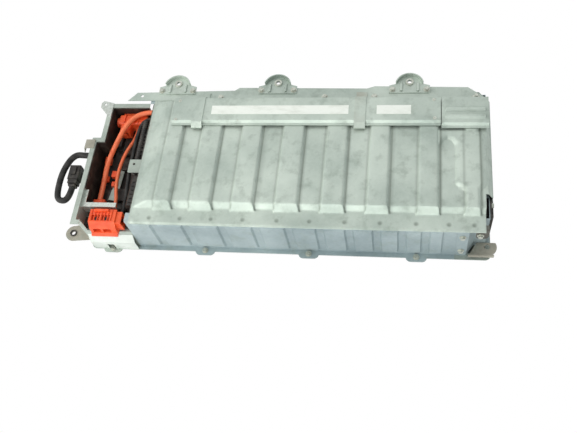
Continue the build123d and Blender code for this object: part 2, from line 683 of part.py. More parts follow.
CABLE_R = 6.5
LOWER_X = (LEFT_X + 27, LEFT_X + 95)
UPPER_FACE_Y = BAY_REAR_Y - 40
LOWER_FACE_Y = FRONT_Y + BAY_SHELF - 2
BOOT_FACE_Y = -104.0
BULKHEAD_X = CAVITY_X - 3
CABLE_A = [(BULKHEAD_X, UPPER_FACE_Y + 29, 141), (LEFT_X + 99, UPPER_FACE_Y + 29, 141), (LEFT_X + 67, 104, 141),
           (LEFT_X + 47, 50, 131), (LEFT_X + 31, -4, 120), (LEFT_X + 25, -60, 100), (LEFT_X + 25, BOOT_FACE_Y, 100)]
CABLE_B = [(LEFT_X + 89, UPPER_FACE_Y, 112), (LEFT_X + 89, 80, 112), (LEFT_X + 71, 36, 114), (LEFT_X + 63, -16, 114),
           (LEFT_X + 64, -68, 110), (LEFT_X + 73, -108, 106), (LEFT_X + 73, LOWER_FACE_Y, 106)]
LOOM = [(BULKHEAD_X, UPPER_FACE_Y + 8, 139), (LEFT_X + 113, UPPER_FACE_Y + 8, 139), (LEFT_X + 101, 84, 134),
        (LEFT_X + 99, 22, 130), (LEFT_X + 99, -48, 126), (LEFT_X + 102, -108, 118), (LEFT_X + 102, LOWER_FACE_Y - 4, 118)]


def cable_boot():
    """The orange boot over the long cable's terminal on the relay box."""
    body = block(LEFT_X + 12, LEFT_X + 42, BOOT_FACE_Y - 22, BOOT_FACE_Y, 84, 112)
    return chamfer(body.edges().group_by(Axis.Z)[-1], 4) + block(LEFT_X + 42, LEFT_X + 54, -120, -108, 84, 96)


def cable_bracket():
    """The thin plate across two towers that guides the cables."""
    x = LEFT_X + 44
    return prism_z([(x, -96), (x + 22, -100), (x + 26, -12), (x + 12, -8)], 92, 94)


def cable(points, radius):
    """A cable of straight runs joined by arcs as large as the runs allow."""
    vectors = [Vector(*p) for p in points]
    radii = []
    for before, here, after in zip(vectors, vectors[1:], vectors[2:]):
        turn = (here - before).get_angle(after - here)
        radii.append(bend_radius(min((here - before).length, (after - here).length), turn))
    path = FilletPolyline(*points, radius=radii)
    section = Plane(path @ 0, z_dir=path % 0) * RegularPolygon(radius, 12)
    return sweep(section, path=path)


def bend_radius(run, turn_degrees):
    """0.45 of the shorter run, over the tangent of half the turn."""
    from math import radians, tan

    return 0.45 * run / tan(radians(turn_degrees) / 2)


def busbar_cover():
    """The black cover over the stack's end terminals, with a row of fins towards the cover's edge."""
    x0, x1 = CAVITY_X - 24, CAVITY_X - 3
    body = prism_y([(x0, 96), (x0, 134), (x0 + 6, 142), (x1, 142), (x1, 96)], -138, 86)
    for n in range(FIN_COUNT):
        y = -130 + n * FIN_PITCH
        if not -62 < y < -2:
            body = body + block(x1 - 12, x1, y, y + 4, 142, 145)
    return body


FIN_COUNT = 18
FIN_PITCH = 11.5


# ---- harness at the bay's left side --------------------------------------------------------------
LOOP_R = 8.0
PLUG_TAIL_Y = -58.0
GROMMET_FACE_X = -HALF_LENGTH - 8
LOOP = [(GROMMET_FACE_X, 24, 112), (LEFT_X - 36, 24, 112), (LEFT_X - 70, 26, 114), (LEFT_X - 92, -22, 110),
        (LEFT_X - 96, -78, 102), (LEFT_X - 88, -106, 100), (LEFT_X - 59, -104, 100), (LEFT_X - 59, PLUG_TAIL_Y, 100)]


def harness_grommet():
    """The moulded boss where the harness leaves the bay's wall."""
    body = block(GROMMET_FACE_X, -HALF_LENGTH, 10, 38, 98, 126)
    return fillet(body.edges().filter_by(Axis.X), 8)


def harness_plug():
    """The black many-way plug held on its bracket, with a latch rib and a stepped tail."""
    x, z = LEFT_X - 59, PLUG_SEAT_Z
    body = block(x - 15, x + 15, PLUG_TAIL_Y + 12, -6, z, z + 26)
    body = fillet(body.edges().filter_by(Axis.Y), 3)
    return body + block(x - 12, x + 12, PLUG_TAIL_Y, PLUG_TAIL_Y + 12, z + 2, z + 24) + block(x - 6, x + 6, -34, -10, z + 26, z + 30)


PLUG_SEAT_Z = 87.0


def harness_bracket():
    """The bent strip that stands off the bay's wall and carries the plug."""
    t = 2.0
    profile = [(-HALF_LENGTH, PLUG_SEAT_Z - 30), (-HALF_LENGTH, PLUG_SEAT_Z), (LEFT_X - 83, PLUG_SEAT_Z),
               (LEFT_X - 83, PLUG_SEAT_Z - t), (-HALF_LENGTH - t, PLUG_SEAT_Z - t), (-HALF_LENGTH - t, PLUG_SEAT_Z - 30)]
    return prism_y(profile, -44, -14)


# ---- inside --------------------------------------------------------------------------------------
def module(index):
    """One sealed cell module: a ribbed case with a raised vent strip and a terminal boss at each end."""
    x = MODULE_FIRST_X + index * MODULE_PITCH
    case = block(x, x + MODULE_THICK, -MODULE_DEPTH / 2, MODULE_DEPTH / 2, MODULE_FLOOR_Z, MODULE_FLOOR_Z + MODULE_HEIGHT)
    case = chamfer(case.edges().filter_by(Axis.X), 3)
    vent = block(x + 8, x + 19, -60, 60, MODULE_FLOOR_Z + MODULE_HEIGHT, MODULE_FLOOR_Z + MODULE_HEIGHT + 4)
    return case + vent


def stack_end_plate(x):
    """The thick plate that clamps the stack, lightened by four pockets."""
    half = MODULE_DEPTH / 2
    plate = block(x, x + PLATE_THICK, -half, half, MODULE_FLOOR_Z, MODULE_FLOOR_Z + MODULE_HEIGHT + 4)
    for n in range(4):
        y = -half + 12 + n * (MODULE_DEPTH - 24) / 4
        plate = plate - block(x + 3, x + PLATE_THICK + 1, y + 4, y + 54, MODULE_FLOOR_Z + 14, MODULE_FLOOR_Z + 104)
    return plate


def stack_rail(y):
    """A square rail under the stack, from end plate to end plate."""
    return block(MODULE_FIRST_X - PLATE_THICK, STACK_END_X + PLATE_THICK, y - 7, y + 7, TRAY_BEAD_HEIGHT + SHEET, MODULE_FLOOR_Z)


STACK_END_X = MODULE_FIRST_X + MODULE_COUNT * MODULE_PITCH - (MODULE_PITCH - MODULE_THICK)


def busbar_frame(side):
    """The plastic frame that holds the busbars along one side of the stack, with a window at each joint."""
    y0 = side * (MODULE_DEPTH / 2 + CLEAR)
    y1 = side * (MODULE_DEPTH / 2 + 14)
    frame = block(MODULE_FIRST_X, STACK_END_X, min(y0, y1), max(y0, y1), 30, 118)
    for n in range(MODULE_COUNT // 2):
        x = MODULE_FIRST_X + 10 + 2 * n * MODULE_PITCH
        frame = frame - block(x, x + 36, *sorted((side * (MODULE_DEPTH / 2 + 6), side * 160)), 52, 96)
    return frame


def monitor_unit():
    """The battery monitor: a flat lidded box beside the stack's right end."""
    box = block(STACK_END_X + PLATE_THICK + 4, HALF_LENGTH - 23, 20, 140, 60, 100)
    return chamfer(box.edges().group_by(Axis.Z)[-1], 4)


def monitor_bracket():
    """The folded stand that holds the monitor off the tray."""
    x0, x1 = STACK_END_X + PLATE_THICK + 10, HALF_LENGTH - 29
    profile = [(x0, SHEET), (x0 + 12, SHEET), (x0 + 12, 58), (x1 - 12, 58), (x1 - 12, SHEET), (x1, SHEET),
               (x1, 60), (x0, 60)]
    return prism_y(profile, 52, 104)


def exhaust_duct():
    """The black air duct that fills the window in the right end wall."""
    x = HALF_LENGTH - 8 - SHEET
    y0, y1 = DUCT_Y[0] + CLEAR, DUCT_Y[1] - CLEAR
    z0, z1 = DUCT_Z[0] + CLEAR, DUCT_Z[1] - CLEAR
    duct = block(x - 46, x + 12, y0, y1, z0, z1)
    duct = duct + block(x + SHEET, x + 6, y0 - DUCT_LIP, y1 + DUCT_LIP, z0 - DUCT_LIP, z1 + DUCT_LIP)
    duct = duct + block(x + SHEET, x + 6, y0 - DUCT_LIP, CORNER_STEP_Y - 1, z1 + DUCT_LIP, WALL_TOP_Z - 3)
    duct = duct - rod((x + 2, CORNER_STEP_Y - 12, 136), (1, 0, 0), BOLT_R + CLEAR, 10)
    return duct - block(x - 47, x + 13, y0 + 3, y1 - 3, z0 + 3, z1 - 3)


# ---- fasteners -----------------------------------------------------------------------------------
def bolt(point, axis, shank):
    """A flanged hex bolt whose flange sits at point; its shank runs against axis."""
    plane = Plane(point, z_dir=axis)
    head = extrude(plane * RegularPolygon(BOLT_HEAD_AF / 2, 6, major_radius=False), BOLT_HEAD_H)
    flange = extrude(plane * RegularPolygon(WASHER_R, 16), 1.2)
    return head + flange + extrude(plane * RegularPolygon(BOLT_R, 12), -shank)


def group(solids):
    """Separate solids kept in one node."""
    return Compound(children=[s if isinstance(s, Solid) else s.solids()[0] for s in solids])


def flange_bolts():
    """The bolts along the tray's flange."""
    tops = [TRAY_RIM_Z + (SHEET if x > WALL_START_X else 0) for x, _ in flange_bolt_points()]
    return group([bolt((x, y, z), (0, 0, 1), 10) for (x, y), z in zip(flange_bolt_points(), tops)])


def cover_bolts():
    """The bolts along the cover's rear ledge."""
    return group([bolt((x, COVER_BOLT_Y, STRIP_Z), (0, 0, 1), 7) for x in COVER_BOLT_X])


def corner_stud():
    """The locating stud that stands in the cover's corner hole."""
    x, y = CORNER_STUD
    return rod((x, y, WALL_TOP_Z), (0, 0, 1), 7.5, 3) + rod((x, y, WALL_TOP_Z), (0, 0, 1), 4, 20)


def foot_bolts():
    """The two large bolts that hold the right foot to the front wall."""
    y = FRONT_Y
    return group([bolt((x, y, z), (0, -1, 0), SHEET) for x, z in FOOT_BOLTS_XZ])


def bracket_bolts():
    """The bolts through the feet of the rear arches."""
    y, top = REAR_Y + 13.5, STRIP_Z + HANGER_SHEET
    return group([bolt((x + s * HANGER_BOLT, y, top), (0, 0, 1), HANGER_SHEET) for x in REAR_BRACKET_X for s in (-1, 1)])


def corner_lug():
    """The half-round lug that hangs under the front right corner of the cover, with its bolt hole."""
    x, y, r = HALF_LENGTH - 24, FRONT_Y - 3.5, 14
    lug = block(x - r, x + r, y, y + 3, 128, WALL_TOP_Z) + rod((x, y, 128), (0, 1, 0), r, 3)
    lug = lug + block(x - r, x + r, y, y + 16, WALL_TOP_Z - 2, WALL_TOP_Z)
    return lug - rod((x - 4, y - 1, 130), (0, 1, 0), BOLT_R + CLEAR, 5)


def corner_bolts():
    """The lug's bolt and the duct's bolt at the front right corner."""
    lug = bolt((HALF_LENGTH - 28, FRONT_Y - 3.5, 130), (0, -1, 0), 3)
    duct = bolt((HALF_LENGTH - 8 - SHEET + 6, CORNER_STEP_Y - 12, 136), (1, 0, 0), 2)
    return group([lug, duct])


PARTS = {
    "lower_tray": tray(),
    "top_cover": top_cover(),
    "front_wall": long_wall(-1, WALL_START_X, FRONT_WALL_END_X, wall_pads()),
    "rear_wall": rear_wall(),
    "right_end_wall": right_end_wall(),
    "corner_wall": corner_wall(),
    "bay_frame": bay_frame(),
    "bay_bridge": bay_bridge(),
    "bay_bulkhead": bay_bulkhead(),
    "bay_liner": bay_liner(),
    "shelf_foam": shelf_foam(),
    "rear_flange": rear_flange(),
    "corner_lug": corner_lug(),
    "corner_bolts": corner_bolts(),
    "cable_boot": cable_boot(),
    "cable_bracket": cable_bracket(),
    "cable_loom": cable(LOOM, CABLE_R - 1.5),
    "bay_front_step": bay_front_step(),
    "rear_brace": rear_brace(),
    "brace_end_bracket": brace_end_bracket(),
    "brace_strap_left": strap(STRAP_X[0]),
    "brace_strap_right": strap(STRAP_X[1]),
    "label_long": label(-188, 156, 104, 130),
    "label_small": label(224, 306, 104, 130),
    "front_left_foot": front_left_foot(),
    "rear_left_ear": rear_left_ear(),
    "side_ear": side_ear(),
    "right_foot": right_foot(),
    "relay_box": relay_box(),
    "lower_connector": lower_connector(),
    "upper_connector": upper_connector(),
    "power_cable_long": cable(CABLE_A, CABLE_R),
    "power_cable_short": cable(CABLE_B, CABLE_R - 2),
    "busbar_cover": busbar_cover(),
    "harness_loop": cable(LOOP, LOOP_R),
    "harness_grommet": harness_grommet(),
    "harness_plug": harness_plug(),
    "harness_bracket": harness_bracket(),
    "stack_end_plate_left": stack_end_plate(MODULE_FIRST_X - PLATE_THICK),
    "stack_end_plate_right": stack_end_plate(STACK_END_X),
    "stack_rail_front": stack_rail(TRAY_BEAD_Y[1]),
    "stack_rail_rear": stack_rail(TRAY_BEAD_Y[2]),
    "busbar_frame_front": busbar_frame(-1),
    "busbar_frame_rear": busbar_frame(1),
    "monitor_unit": monitor_unit(),
    "monitor_bracket": monitor_bracket(),
    "exhaust_duct": exhaust_duct(),
    "flange_bolts": flange_bolts(),
    "cover_bolts": cover_bolts(),
    "corner_stud": corner_stud(),
    "foot_bolts": foot_bolts(),
    "bracket_bolts": bracket_bolts(),
}
for n, x in enumerate(REAR_BRACKET_X):
    PARTS[f"arch_bracket_{n + 1}"] = arch_bracket(x)
MODULE_NODES = 4
for n in range(MODULE_NODES):
    per_node = MODULE_COUNT // MODULE_NODES
    PARTS[f"modules_{n + 1}"] = group([module(k) for k in range(n * per_node, (n + 1) * per_node)])

os.makedirs("parts", exist_ok=True)
for name, shape in PARTS.items():
    export_step(shape, f"parts/{name}.step")
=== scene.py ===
"""Looks of a hybrid car's traction battery: galvanised housing, orange power cables, taped harness."""
import json
import math

import bpy
import numpy as np
from mathutils import Matrix, Vector


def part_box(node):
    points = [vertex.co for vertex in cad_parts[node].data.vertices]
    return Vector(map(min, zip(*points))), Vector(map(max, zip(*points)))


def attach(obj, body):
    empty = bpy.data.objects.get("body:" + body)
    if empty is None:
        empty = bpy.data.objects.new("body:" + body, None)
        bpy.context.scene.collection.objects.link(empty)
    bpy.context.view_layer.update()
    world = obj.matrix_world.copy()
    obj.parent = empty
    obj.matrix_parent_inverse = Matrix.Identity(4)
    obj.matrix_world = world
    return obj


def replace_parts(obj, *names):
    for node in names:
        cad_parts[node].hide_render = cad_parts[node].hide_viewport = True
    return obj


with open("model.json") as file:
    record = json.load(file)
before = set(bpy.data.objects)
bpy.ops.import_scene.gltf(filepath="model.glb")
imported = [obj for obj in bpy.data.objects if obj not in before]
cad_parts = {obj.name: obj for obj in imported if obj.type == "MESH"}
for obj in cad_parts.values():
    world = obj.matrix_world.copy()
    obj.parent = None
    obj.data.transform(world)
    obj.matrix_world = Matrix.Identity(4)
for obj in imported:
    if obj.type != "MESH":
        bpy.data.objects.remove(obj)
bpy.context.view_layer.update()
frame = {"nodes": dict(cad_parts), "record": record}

bl_info = {
    "name": "Traction Battery Pack",
    "version": (1, 0, 0),
    "blender": (4, 5, 0),
    "location": "View3D > Sidebar > Battery",
    "description": "Surfaces, wiring and finishes of a pressed-steel traction battery pack",
    "category": "Object",
}

MM = 0.001


# ---- materials -----------------------------------------------------------------------------------
def srgb(code):
    """A hex colour as linear RGBA."""
    parts = [int(code[i:i + 2], 16) / 255 for i in (0, 2, 4)]
    return tuple(c / 12.92 if c <= 0.04045 else ((c + 0.055) / 1.055) ** 2.4 for c in parts) + (1.0,)


def add_node(tree, kind, inputs=None, **settings):
    """One node with its settings, its constants and its links."""
    node = tree.nodes.new(kind)
    for key, value in settings.items():
        setattr(node, key, value)
    for key, value in (inputs or {}).items():
        if isinstance(value, bpy.types.NodeSocket):
            tree.links.new(value, node.inputs[key])
        else:
            node.inputs[key].default_value = value
    return node


def new_material(name, metallic=0.0):
    """An empty node material: its tree, its shader and the object-space position in metres."""
    material = bpy.data.materials.new(name)
    material.use_nodes = True
    tree = material.node_tree
    shader = tree.nodes["Principled BSDF"]
    shader.inputs["Metallic"].default_value = metallic
    position = add_node(tree, "ShaderNodeTexCoord").outputs["Object"]
    return material, tree, shader, position


def noise(tree, position, size_mm, detail=4.0, rough=0.6, stretch=(1, 1, 1)):
    """Noise whose features are size_mm across, drawn out along the axes by stretch."""
    scaled = add_node(tree, "ShaderNodeVectorMath", {0: position, 1: stretch}, operation="MULTIPLY")
    texture = add_node(tree, "ShaderNodeTexNoise", {"Vector": scaled.outputs[0], "Scale": 1000 / size_mm,
                                                    "Detail": detail, "Roughness": rough})
    return texture.outputs["Fac"]


def ramp(tree, value, low, high, start=0.0, end=1.0):
    """value between low and high, mapped onto start to end and held there."""
    node = add_node(tree, "ShaderNodeMapRange", {"Value": value, "From Min": low, "From Max": high,
                                                 "To Min": start, "To Max": end})
    return node.outputs["Result"]


def mix(tree, factor, a, b):
    """Two colours mixed by factor."""
    return add_node(tree, "ShaderNodeMix", {0: factor, 6: a, 7: b}, data_type="RGBA").outputs[2]


def bump(tree, shader, height, distance_mm, strength):
    """A bump of distance_mm from a height between 0 and 1."""
    settings = {"Height": height, "Distance": distance_mm * MM, "Strength": strength}
    tree.links.new(add_node(tree, "ShaderNodeBump", settings).outputs["Normal"], shader.inputs["Normal"])


def galvanised(name, pale, dark, stain_strength, rust, with_flank_shade_and_dimple_spots=False):
    """Hot-dip galvanised sheet after years in a car: faint spangle, stains, water marks, a little rust."""
    material, tree, shader, position = new_material(name, 0.5)
    broad = noise(tree, position, 160, 3, 0.55)
    mid = noise(tree, position, 34, 5, 0.62)
    spangle = add_node(tree, "ShaderNodeTexVoronoi", {"Vector": position, "Scale": 1000 / 6.0})
    colour = mix(tree, ramp(tree, broad, 0.36, 0.66), srgb(pale), srgb(dark))
    stains = ramp(tree, mid, 0.52, 0.74, 0.0, stain_strength)
    colour = mix(tree, stains, colour, srgb("8F9A90"))
    fleck = ramp(tree, spangle.outputs["Color"], 0.2, 1.0, 0.0, 0.07)
    colour = mix(tree, fleck, colour, srgb("F2F8F2"))
    fine = noise(tree, position, 5, 3, 0.7)
    colour = mix(tree, ramp(tree, fine, 0.62, 0.78, 0, 0.35), colour, srgb("7E877C"))
    spots = ramp(tree, noise(tree, position, 26, 6, 0.7), 0.70, 0.76, 0.0, rust)
    colour = mix(tree, spots, colour, srgb("A5785A"))
    # the cover's own attribute paints shade at the feet of its panel flanks and a darker spot in each dimple
    if with_flank_shade_and_dimple_spots:
        shade_and_dimple_spots = add_node(tree, "ShaderNodeAttribute", attribute_name="flank_shade_and_dimple_spots").outputs["Fac"]
        colour = mix(tree, shade_and_dimple_spots, colour, srgb("6E766C"))
    tree.links.new(colour, shader.inputs["Base Color"])
    tree.links.new(ramp(tree, mid, 0.3, 0.7, 0.40, 0.56), shader.inputs["Roughness"])
    bump(tree, shader, mid, 0.3, 0.4)
    return material


def zinc_plate(name, code, rust=0.0):
    """Bright zinc plating on a fastener or stamped bracket."""
    material, tree, shader, position = new_material(name, 0.75)
    mottled = noise(tree, position, 7, 4, 0.6)
    colour = mix(tree, ramp(tree, mottled, 0.4, 0.7, 0, 0.5), srgb(code), srgb("8C8C7C"))
    if rust:
        spots = ramp(tree, noise(tree, position, 4, 4, 0.7), 0.55, 0.66, 0, rust)
        colour = mix(tree, spots, colour, srgb("8A5638"))
    tree.links.new(colour, shader.inputs["Base Color"])
    tree.links.new(ramp(tree, mottled, 0.3, 0.7, 0.28, 0.45), shader.inputs["Roughness"])
    bump(tree, shader, mottled, 0.1, 0.4)
    return material


def moulded_plastic(name, code, shade, rough, dust):
    """Injection-moulded plastic with a fine matt texture and a film of dust."""
    material, tree, shader, position = new_material(name)
    texture = noise(tree, position, 1.4, 3, 0.6)
    film = ramp(tree, noise(tree, position, 18, 5, 0.65), 0.48, 0.72, 0.0, dust)
    colour = mix(tree, ramp(tree, noise(tree, position, 30, 3), 0.35, 0.7), srgb(code), srgb(shade))
    colour = mix(tree, film, colour, srgb("B9AE9C"))
    tree.links.new(colour, shader.inputs["Base Color"])
    tree.links.new(ramp(tree, texture, 0.3, 0.7, rough - 0.06, rough + 0.08), shader.inputs["Roughness"])
    bump(tree, shader, texture, 0.04, 0.5)
    return material


def cable_sheath(name, code, shade):
    """Extruded orange high-voltage sheath: satin, slightly scuffed along its length."""
    material, tree, shader, position = new_material(name)
    scuff = noise(tree, position, 9, 4, 0.6, (1, 0.25, 1))
    colour = mix(tree, ramp(tree, scuff, 0.42, 0.72), srgb(code), srgb(shade))
    tree.links.new(colour, shader.inputs["Base Color"])
    tree.links.new(ramp(tree, scuff, 0.3, 0.7, 0.36, 0.5), shader.inputs["Roughness"])
    bump(tree, shader, scuff, 0.06, 0.4)
    return material


def cloth_tape(name):
    """Black fleece tape wound in overlapping turns round a bundle of wires."""
    material, tree, shader, position = new_material(name)
    winding = {"Vector": position, "Scale": 1000 / 60.0, "Distortion": 3.0, "Detail": 2.0}
    turns = add_node(tree, "ShaderNodeTexWave", winding, wave_type="BANDS", bands_direction="DIAGONAL")
    lint = ramp(tree, noise(tree, position, 1.2, 4, 0.7), 0.6, 0.8, 0, 0.3)
    colour = mix(tree, ramp(tree, turns.outputs["Fac"], 0.2, 0.9), srgb("141312"), srgb("2B2927"))
    tree.links.new(mix(tree, lint, colour, srgb("5A5650")), shader.inputs["Base Color"])
    shader.inputs["Roughness"].default_value = 0.62
    bump(tree, shader, turns.outputs["Fac"], 0.6, 0.7)
    return material


def label_film(name):
    """Plain white printed film, a little yellowed and scuffed, with no print on it."""
    material, tree, shader, position = new_material(name)
    worn = noise(tree, position, 12, 5, 0.6, (0.4, 1, 1))
    colour = mix(tree, ramp(tree, worn, 0.45, 0.75, 0, 0.5), srgb("ECEFE8"), srgb("C9CEC2"))
    tree.links.new(colour, shader.inputs["Base Color"])
    shader.inputs["Roughness"].default_value = 0.38
    bump(tree, shader, worn, 0.05, 0.4)
    return material


def cast_aluminium(name):
    """Bead-blasted aluminium of the stack's clamp plates."""
    material, tree, shader, position = new_material(name, 0.9)
    grain = noise(tree, position, 1.5, 4, 0.6)
    tree.links.new(mix(tree, grain, srgb("9FA3A4"), srgb("C4C7C8")), shader.inputs["Base Color"])
    shader.inputs["Roughness"].default_value = 0.5
    bump(tree, shader, grain, 0.08, 0.5)
    return material


def all_materials():
    """One material for each of the record's slots, and the extra ones of single pieces."""
    return {
        "galvanised_steel": galvanised("galvanised_sheet", "C6D0C6", "ABB7AE", 0.55, 0.5),
        # this sheet also takes painted shade at its panel flanks and a darker spot in each dimple
        "cover_steel": galvanised("galvanised_cover_sheet", "C8D2C8", "AAB6AD", 0.6, 0.35, with_flank_shade_and_dimple_spots=True),
        "wall_steel": galvanised("galvanised_wall_sheet", "B4C2C4", "98A7AB", 0.4, 0.35),
        "bay_steel": galvanised("galvanised_bay_sheet", "BAC3BA", "979F96", 0.6, 0.4),
        # a near-white copy of the galvanised sheet for the bay's front step: painted highlight, its
        # brightness under the light put into its colour
        "kick_steel": galvanised("painted_highlight_step_sheet", "E6ECE6", "C3CCC5", 0.35, 0.2),
        "foot_steel": galvanised("dull_foot_plate", "B4B0A2", "8B8678", 0.6, 0.9),
        "tray_steel": galvanised("road_stained_tray", "B7C1B9", "949E96", 0.6, 0.9),
        # a near-black copy of the galvanised sheet: on the bay's bulkhead it darkens the slit at the side
        # opening, which lies in shade, and on the corner lug it is just dark
        "near_black_steel": galvanised("near_black_sheet", "6D6A62", "4A4640", 0.4, 0.6),
        "strap_steel": galvanised("rust_streaked_strap", "C2CCC2", "A8A79A", 0.5, 1.0),
        "liner_sheet": moulded_plastic("brown_black_liner", "231A15", "30241D", 0.6, 0.1),
        "relay_nylon": moulded_plastic("relay_nylon", "211C19", "332B26", 0.5, 0.15),
        "bright_steel": zinc_plate("bright_zinc_sheet", "DDE2DC"),
        "zinc_bolt": zinc_plate("zinc_plated_bolt", "D3D6CC", 0.25),
        "orange_plastic": moulded_plastic("orange_connector_nylon", "F2602E", "E2491C", 0.4, 0.06),
        "orange_sheath": cable_sheath("orange_cable_sheath", "F07A50", "E8673C"),
        "harness_tape": cloth_tape("black_fleece_tape"),
        "black_plastic": moulded_plastic("black_nylon", "1F1C1A", "2C2724", 0.46, 0.12),
        "module_case": moulded_plastic("dark_module_case", "2A2C2E", "34363A", 0.5, 0.1),
        "label_film": label_film("plain_label_film"),
        "plate_aluminium": cast_aluminium("blasted_aluminium"),
    }


MATERIALS = {}  # all_materials() by key, once the first operator has run
FINISHES = {  # nodes whose finish isn't simply that of their slot
    "front_wall": "wall_steel", "rear_wall": "wall_steel", "right_end_wall": "wall_steel",
    "corner_wall": "wall_steel", "bay_frame": "bay_steel",
    "bay_bulkhead": "near_black_steel", "bay_liner": "liner_sheet", "relay_box": "relay_nylon",
    "corner_lug": "near_black_steel", "brace_strap_left": "galvanised_steel", "brace_strap_right": "strap_steel",
    "harness_bracket": "bay_steel", "cable_bracket": "bay_steel", "bay_front_step": "kick_steel",
    "front_left_foot": "foot_steel", "right_foot": "foot_steel", "lower_tray": "tray_steel",
    "side_ear": "foot_steel",
}


# ---- mesh helpers, in millimetres ----------------------------------------------------------------
SINK = 0.4  # how far a small part sits into the face it stands on, so that no gap shows
BEVEL_SEGMENTS = 2
BEVEL_ANGLE = 35.0  # edges that turn by more than this, in degrees, are rounded
DISC_SIDES = 40
DISC_BEVEL = 0.4
TUBE_SIDES = 24
RINGS_PER_PITCH = 8
BOX_CORNERS = np.indices((2, 2, 2)).reshape(3, 8).T  # low 0 or high 1 along X, Y and Z
BOX_FACES = np.array(((0, 1, 3, 2), (4, 6, 7, 5), (0, 4, 5, 1), (2, 3, 7, 6), (0, 2, 6, 4), (1, 5, 7, 3)))


def place(thing, finish):
    """Link a new piece, give it its material and let it ride on the pack."""
    thing.data.materials.append(MATERIALS[finish])
    bpy.context.scene.collection.objects.link(thing)
    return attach(thing, "root")


def make_mesh(name, points, faces, finish, smooth=True):
    """A piece at the origin from points in millimetres and the faces between them."""
    mesh = bpy.data.meshes.new(name)
    mesh.from_pydata((np.asarray(points) * MM).tolist(), [], [list(map(int, face)) for face in faces])
    mesh.polygons.foreach_set("use_smooth", np.full(len(mesh.polygons), smooth))
    mesh.update()
    return place(bpy.data.objects.new(name, mesh), finish)


def bevel(thing, width_mm):
    """Round the edges of a piece or a CAD node."""
    modifier = thing.modifiers.new("edge", "BEVEL")
    modifier.width = width_mm * MM
    modifier.segments = BEVEL_SEGMENTS
    modifier.limit_method = "ANGLE"
    modifier.angle_limit = math.radians(BEVEL_ANGLE)
    modifier.harden_normals = True
    return thing


def gauge(thing, thickness_mm):
    """Thicken a sheet downwards to its gauge."""
    modifier = thing.modifiers.new("gauge", "SOLIDIFY")
    modifier.thickness = thickness_mm * MM
    modifier.offset = -1
    return thing


def grid_faces(rows, columns, keep):
    """Quads of a rows by columns grid of points; keep marks the cells that stay."""
    row, column = np.meshgrid(np.arange(rows - 1), np.arange(columns - 1), indexing="ij")
    corner = row * columns + column
    return np.stack([corner, corner + columns, corner + columns + 1, corner + 1], -1)[keep]


def ring_faces(rings, sides, closed=False):
    """Quads between each ring of points and the next; closed joins the last ring to the first as well."""
    ring, side = np.meshgrid(np.arange(rings if closed else rings - 1), np.arange(sides), indexing="ij")
    after, beside = (ring + 1) % rings, (side + 1) % sides
    quads = [ring * sides + side, ring * sides + beside, after * sides + beside, after * sides + side]
    return np.stack(quads, -1).reshape(-1, 4)


def blocks(name, spans, finish, round_mm):
    """One piece of upright blocks: each corner takes its X, Y and Z from the span's low or high corner."""
    points = np.array(spans)[:, BOX_CORNERS, np.arange(3)].reshape(-1, 3)
    faces = (np.arange(len(spans))[:, None, None] * len(BOX_CORNERS) + BOX_FACES).reshape(-1, 4)
    return bevel(make_mesh(name, points, faces, finish, smooth=False), round_mm)


def standing(corner, rows, sink=0.0):
    """Spans of blocks on a flat top: left, front, width, depth and height of each, from the top's corner."""
    x, y, z = corner
    return [((x + left, y + front, z - sink), (x + left + width, y + front + depth, z + height))
            for left, front, width, depth, height in rows]


def disc(name, centre, slot, radius, height, hole):
    """A washer: circles of the hole's and the rim's radius at the centre's height and at height above it."""
    turn = np.linspace(0, 2 * np.pi, DISC_SIDES, endpoint=False)
    radii = np.array((hole, radius, radius, hole))[:, None]
    z = centre[2] + np.array((0, 0, height, height))[:, None] + 0 * turn
    points = np.stack([centre[0] + radii * np.cos(turn), centre[1] + radii * np.sin(turn), z], -1)
    faces = ring_faces(len(radii), DISC_SIDES, closed=True)
    return bevel(make_mesh(name, points.reshape(-1, 3), faces, slot), DISC_BEVEL)


def route(name, points, radius_mm, slot):
    """A round cable whose NURBS spline has the given points as its control points."""
    curve = bpy.data.curves.new(name, "CURVE")
    curve.dimensions = "3D"
    curve.bevel_depth = radius_mm * MM
    curve.bevel_resolution = 6
    curve.use_fill_caps = True
    spline = curve.splines.new("NURBS")
    spline.points.add(len(points) - 1)
    for knot, point in zip(spline.points, points):
        knot.co = (*(c * MM for c in point), 1.0)
    spline.order_u = 3
    spline.use_endpoint_u = True
    spline.resolution_u = 12
    return place(bpy.data.objects.new(name, curve), slot)


def ribbed_tube(name, start, end, slot, radius, wave, pitch):
    """A corrugated tube along Y: radius plus wave times the cosine of one full turn in each pitch."""
    length = abs(end[1] - start[1])
    rings = int(length / pitch * RINGS_PER_PITCH)
    along = np.linspace(0, 1, rings)[:, None]
    turn = np.linspace(0, 2 * np.pi, TUBE_SIDES, endpoint=False)
    centre = np.array(start) * (1 - along[..., None]) + np.array(end) * along[..., None]
    size = radius + wave * np.cos(2 * np.pi * along * length / pitch)
    points = np.broadcast_to(centre, (rings, TUBE_SIDES, 3)).copy()
    points[..., 0] += size * np.cos(turn)
    points[..., 2] += size * np.sin(turn)
    ring = np.arange(TUBE_SIDES)
    caps = [ring[::-1], (rings - 1) * TUBE_SIDES + ring]
    return make_mesh(name, points.reshape(-1, 3), [*ring_faces(rings, TUBE_SIDES), *caps], slot)


# ---- shaping functions ---------------------------------------------------------------------------
def rise(distance, run, bend):
    """0 before distance 0 and 1 past run, straight between, with both bends rounded: the root of distance
    squared plus bend squared, less the same root of distance - run, plus run, all over twice run."""
    return (np.sqrt(distance ** 2 + bend ** 2) - np.sqrt((distance - run) ** 2 + bend ** 2) + run) / (2 * run)


def lesser(a, b, bend):
    """The lower of two surfaces with a rounded crease: half their sum less the rounded gap between them."""
    return (a + b - np.sqrt((a - b) ** 2 + bend ** 2)) / 2


def greater(a, b, bend):
    """The higher of two surfaces with a rounded crease: half their sum and the rounded gap between them."""
    return (a + b + np.sqrt((a - b) ** 2 + bend ** 2)) / 2


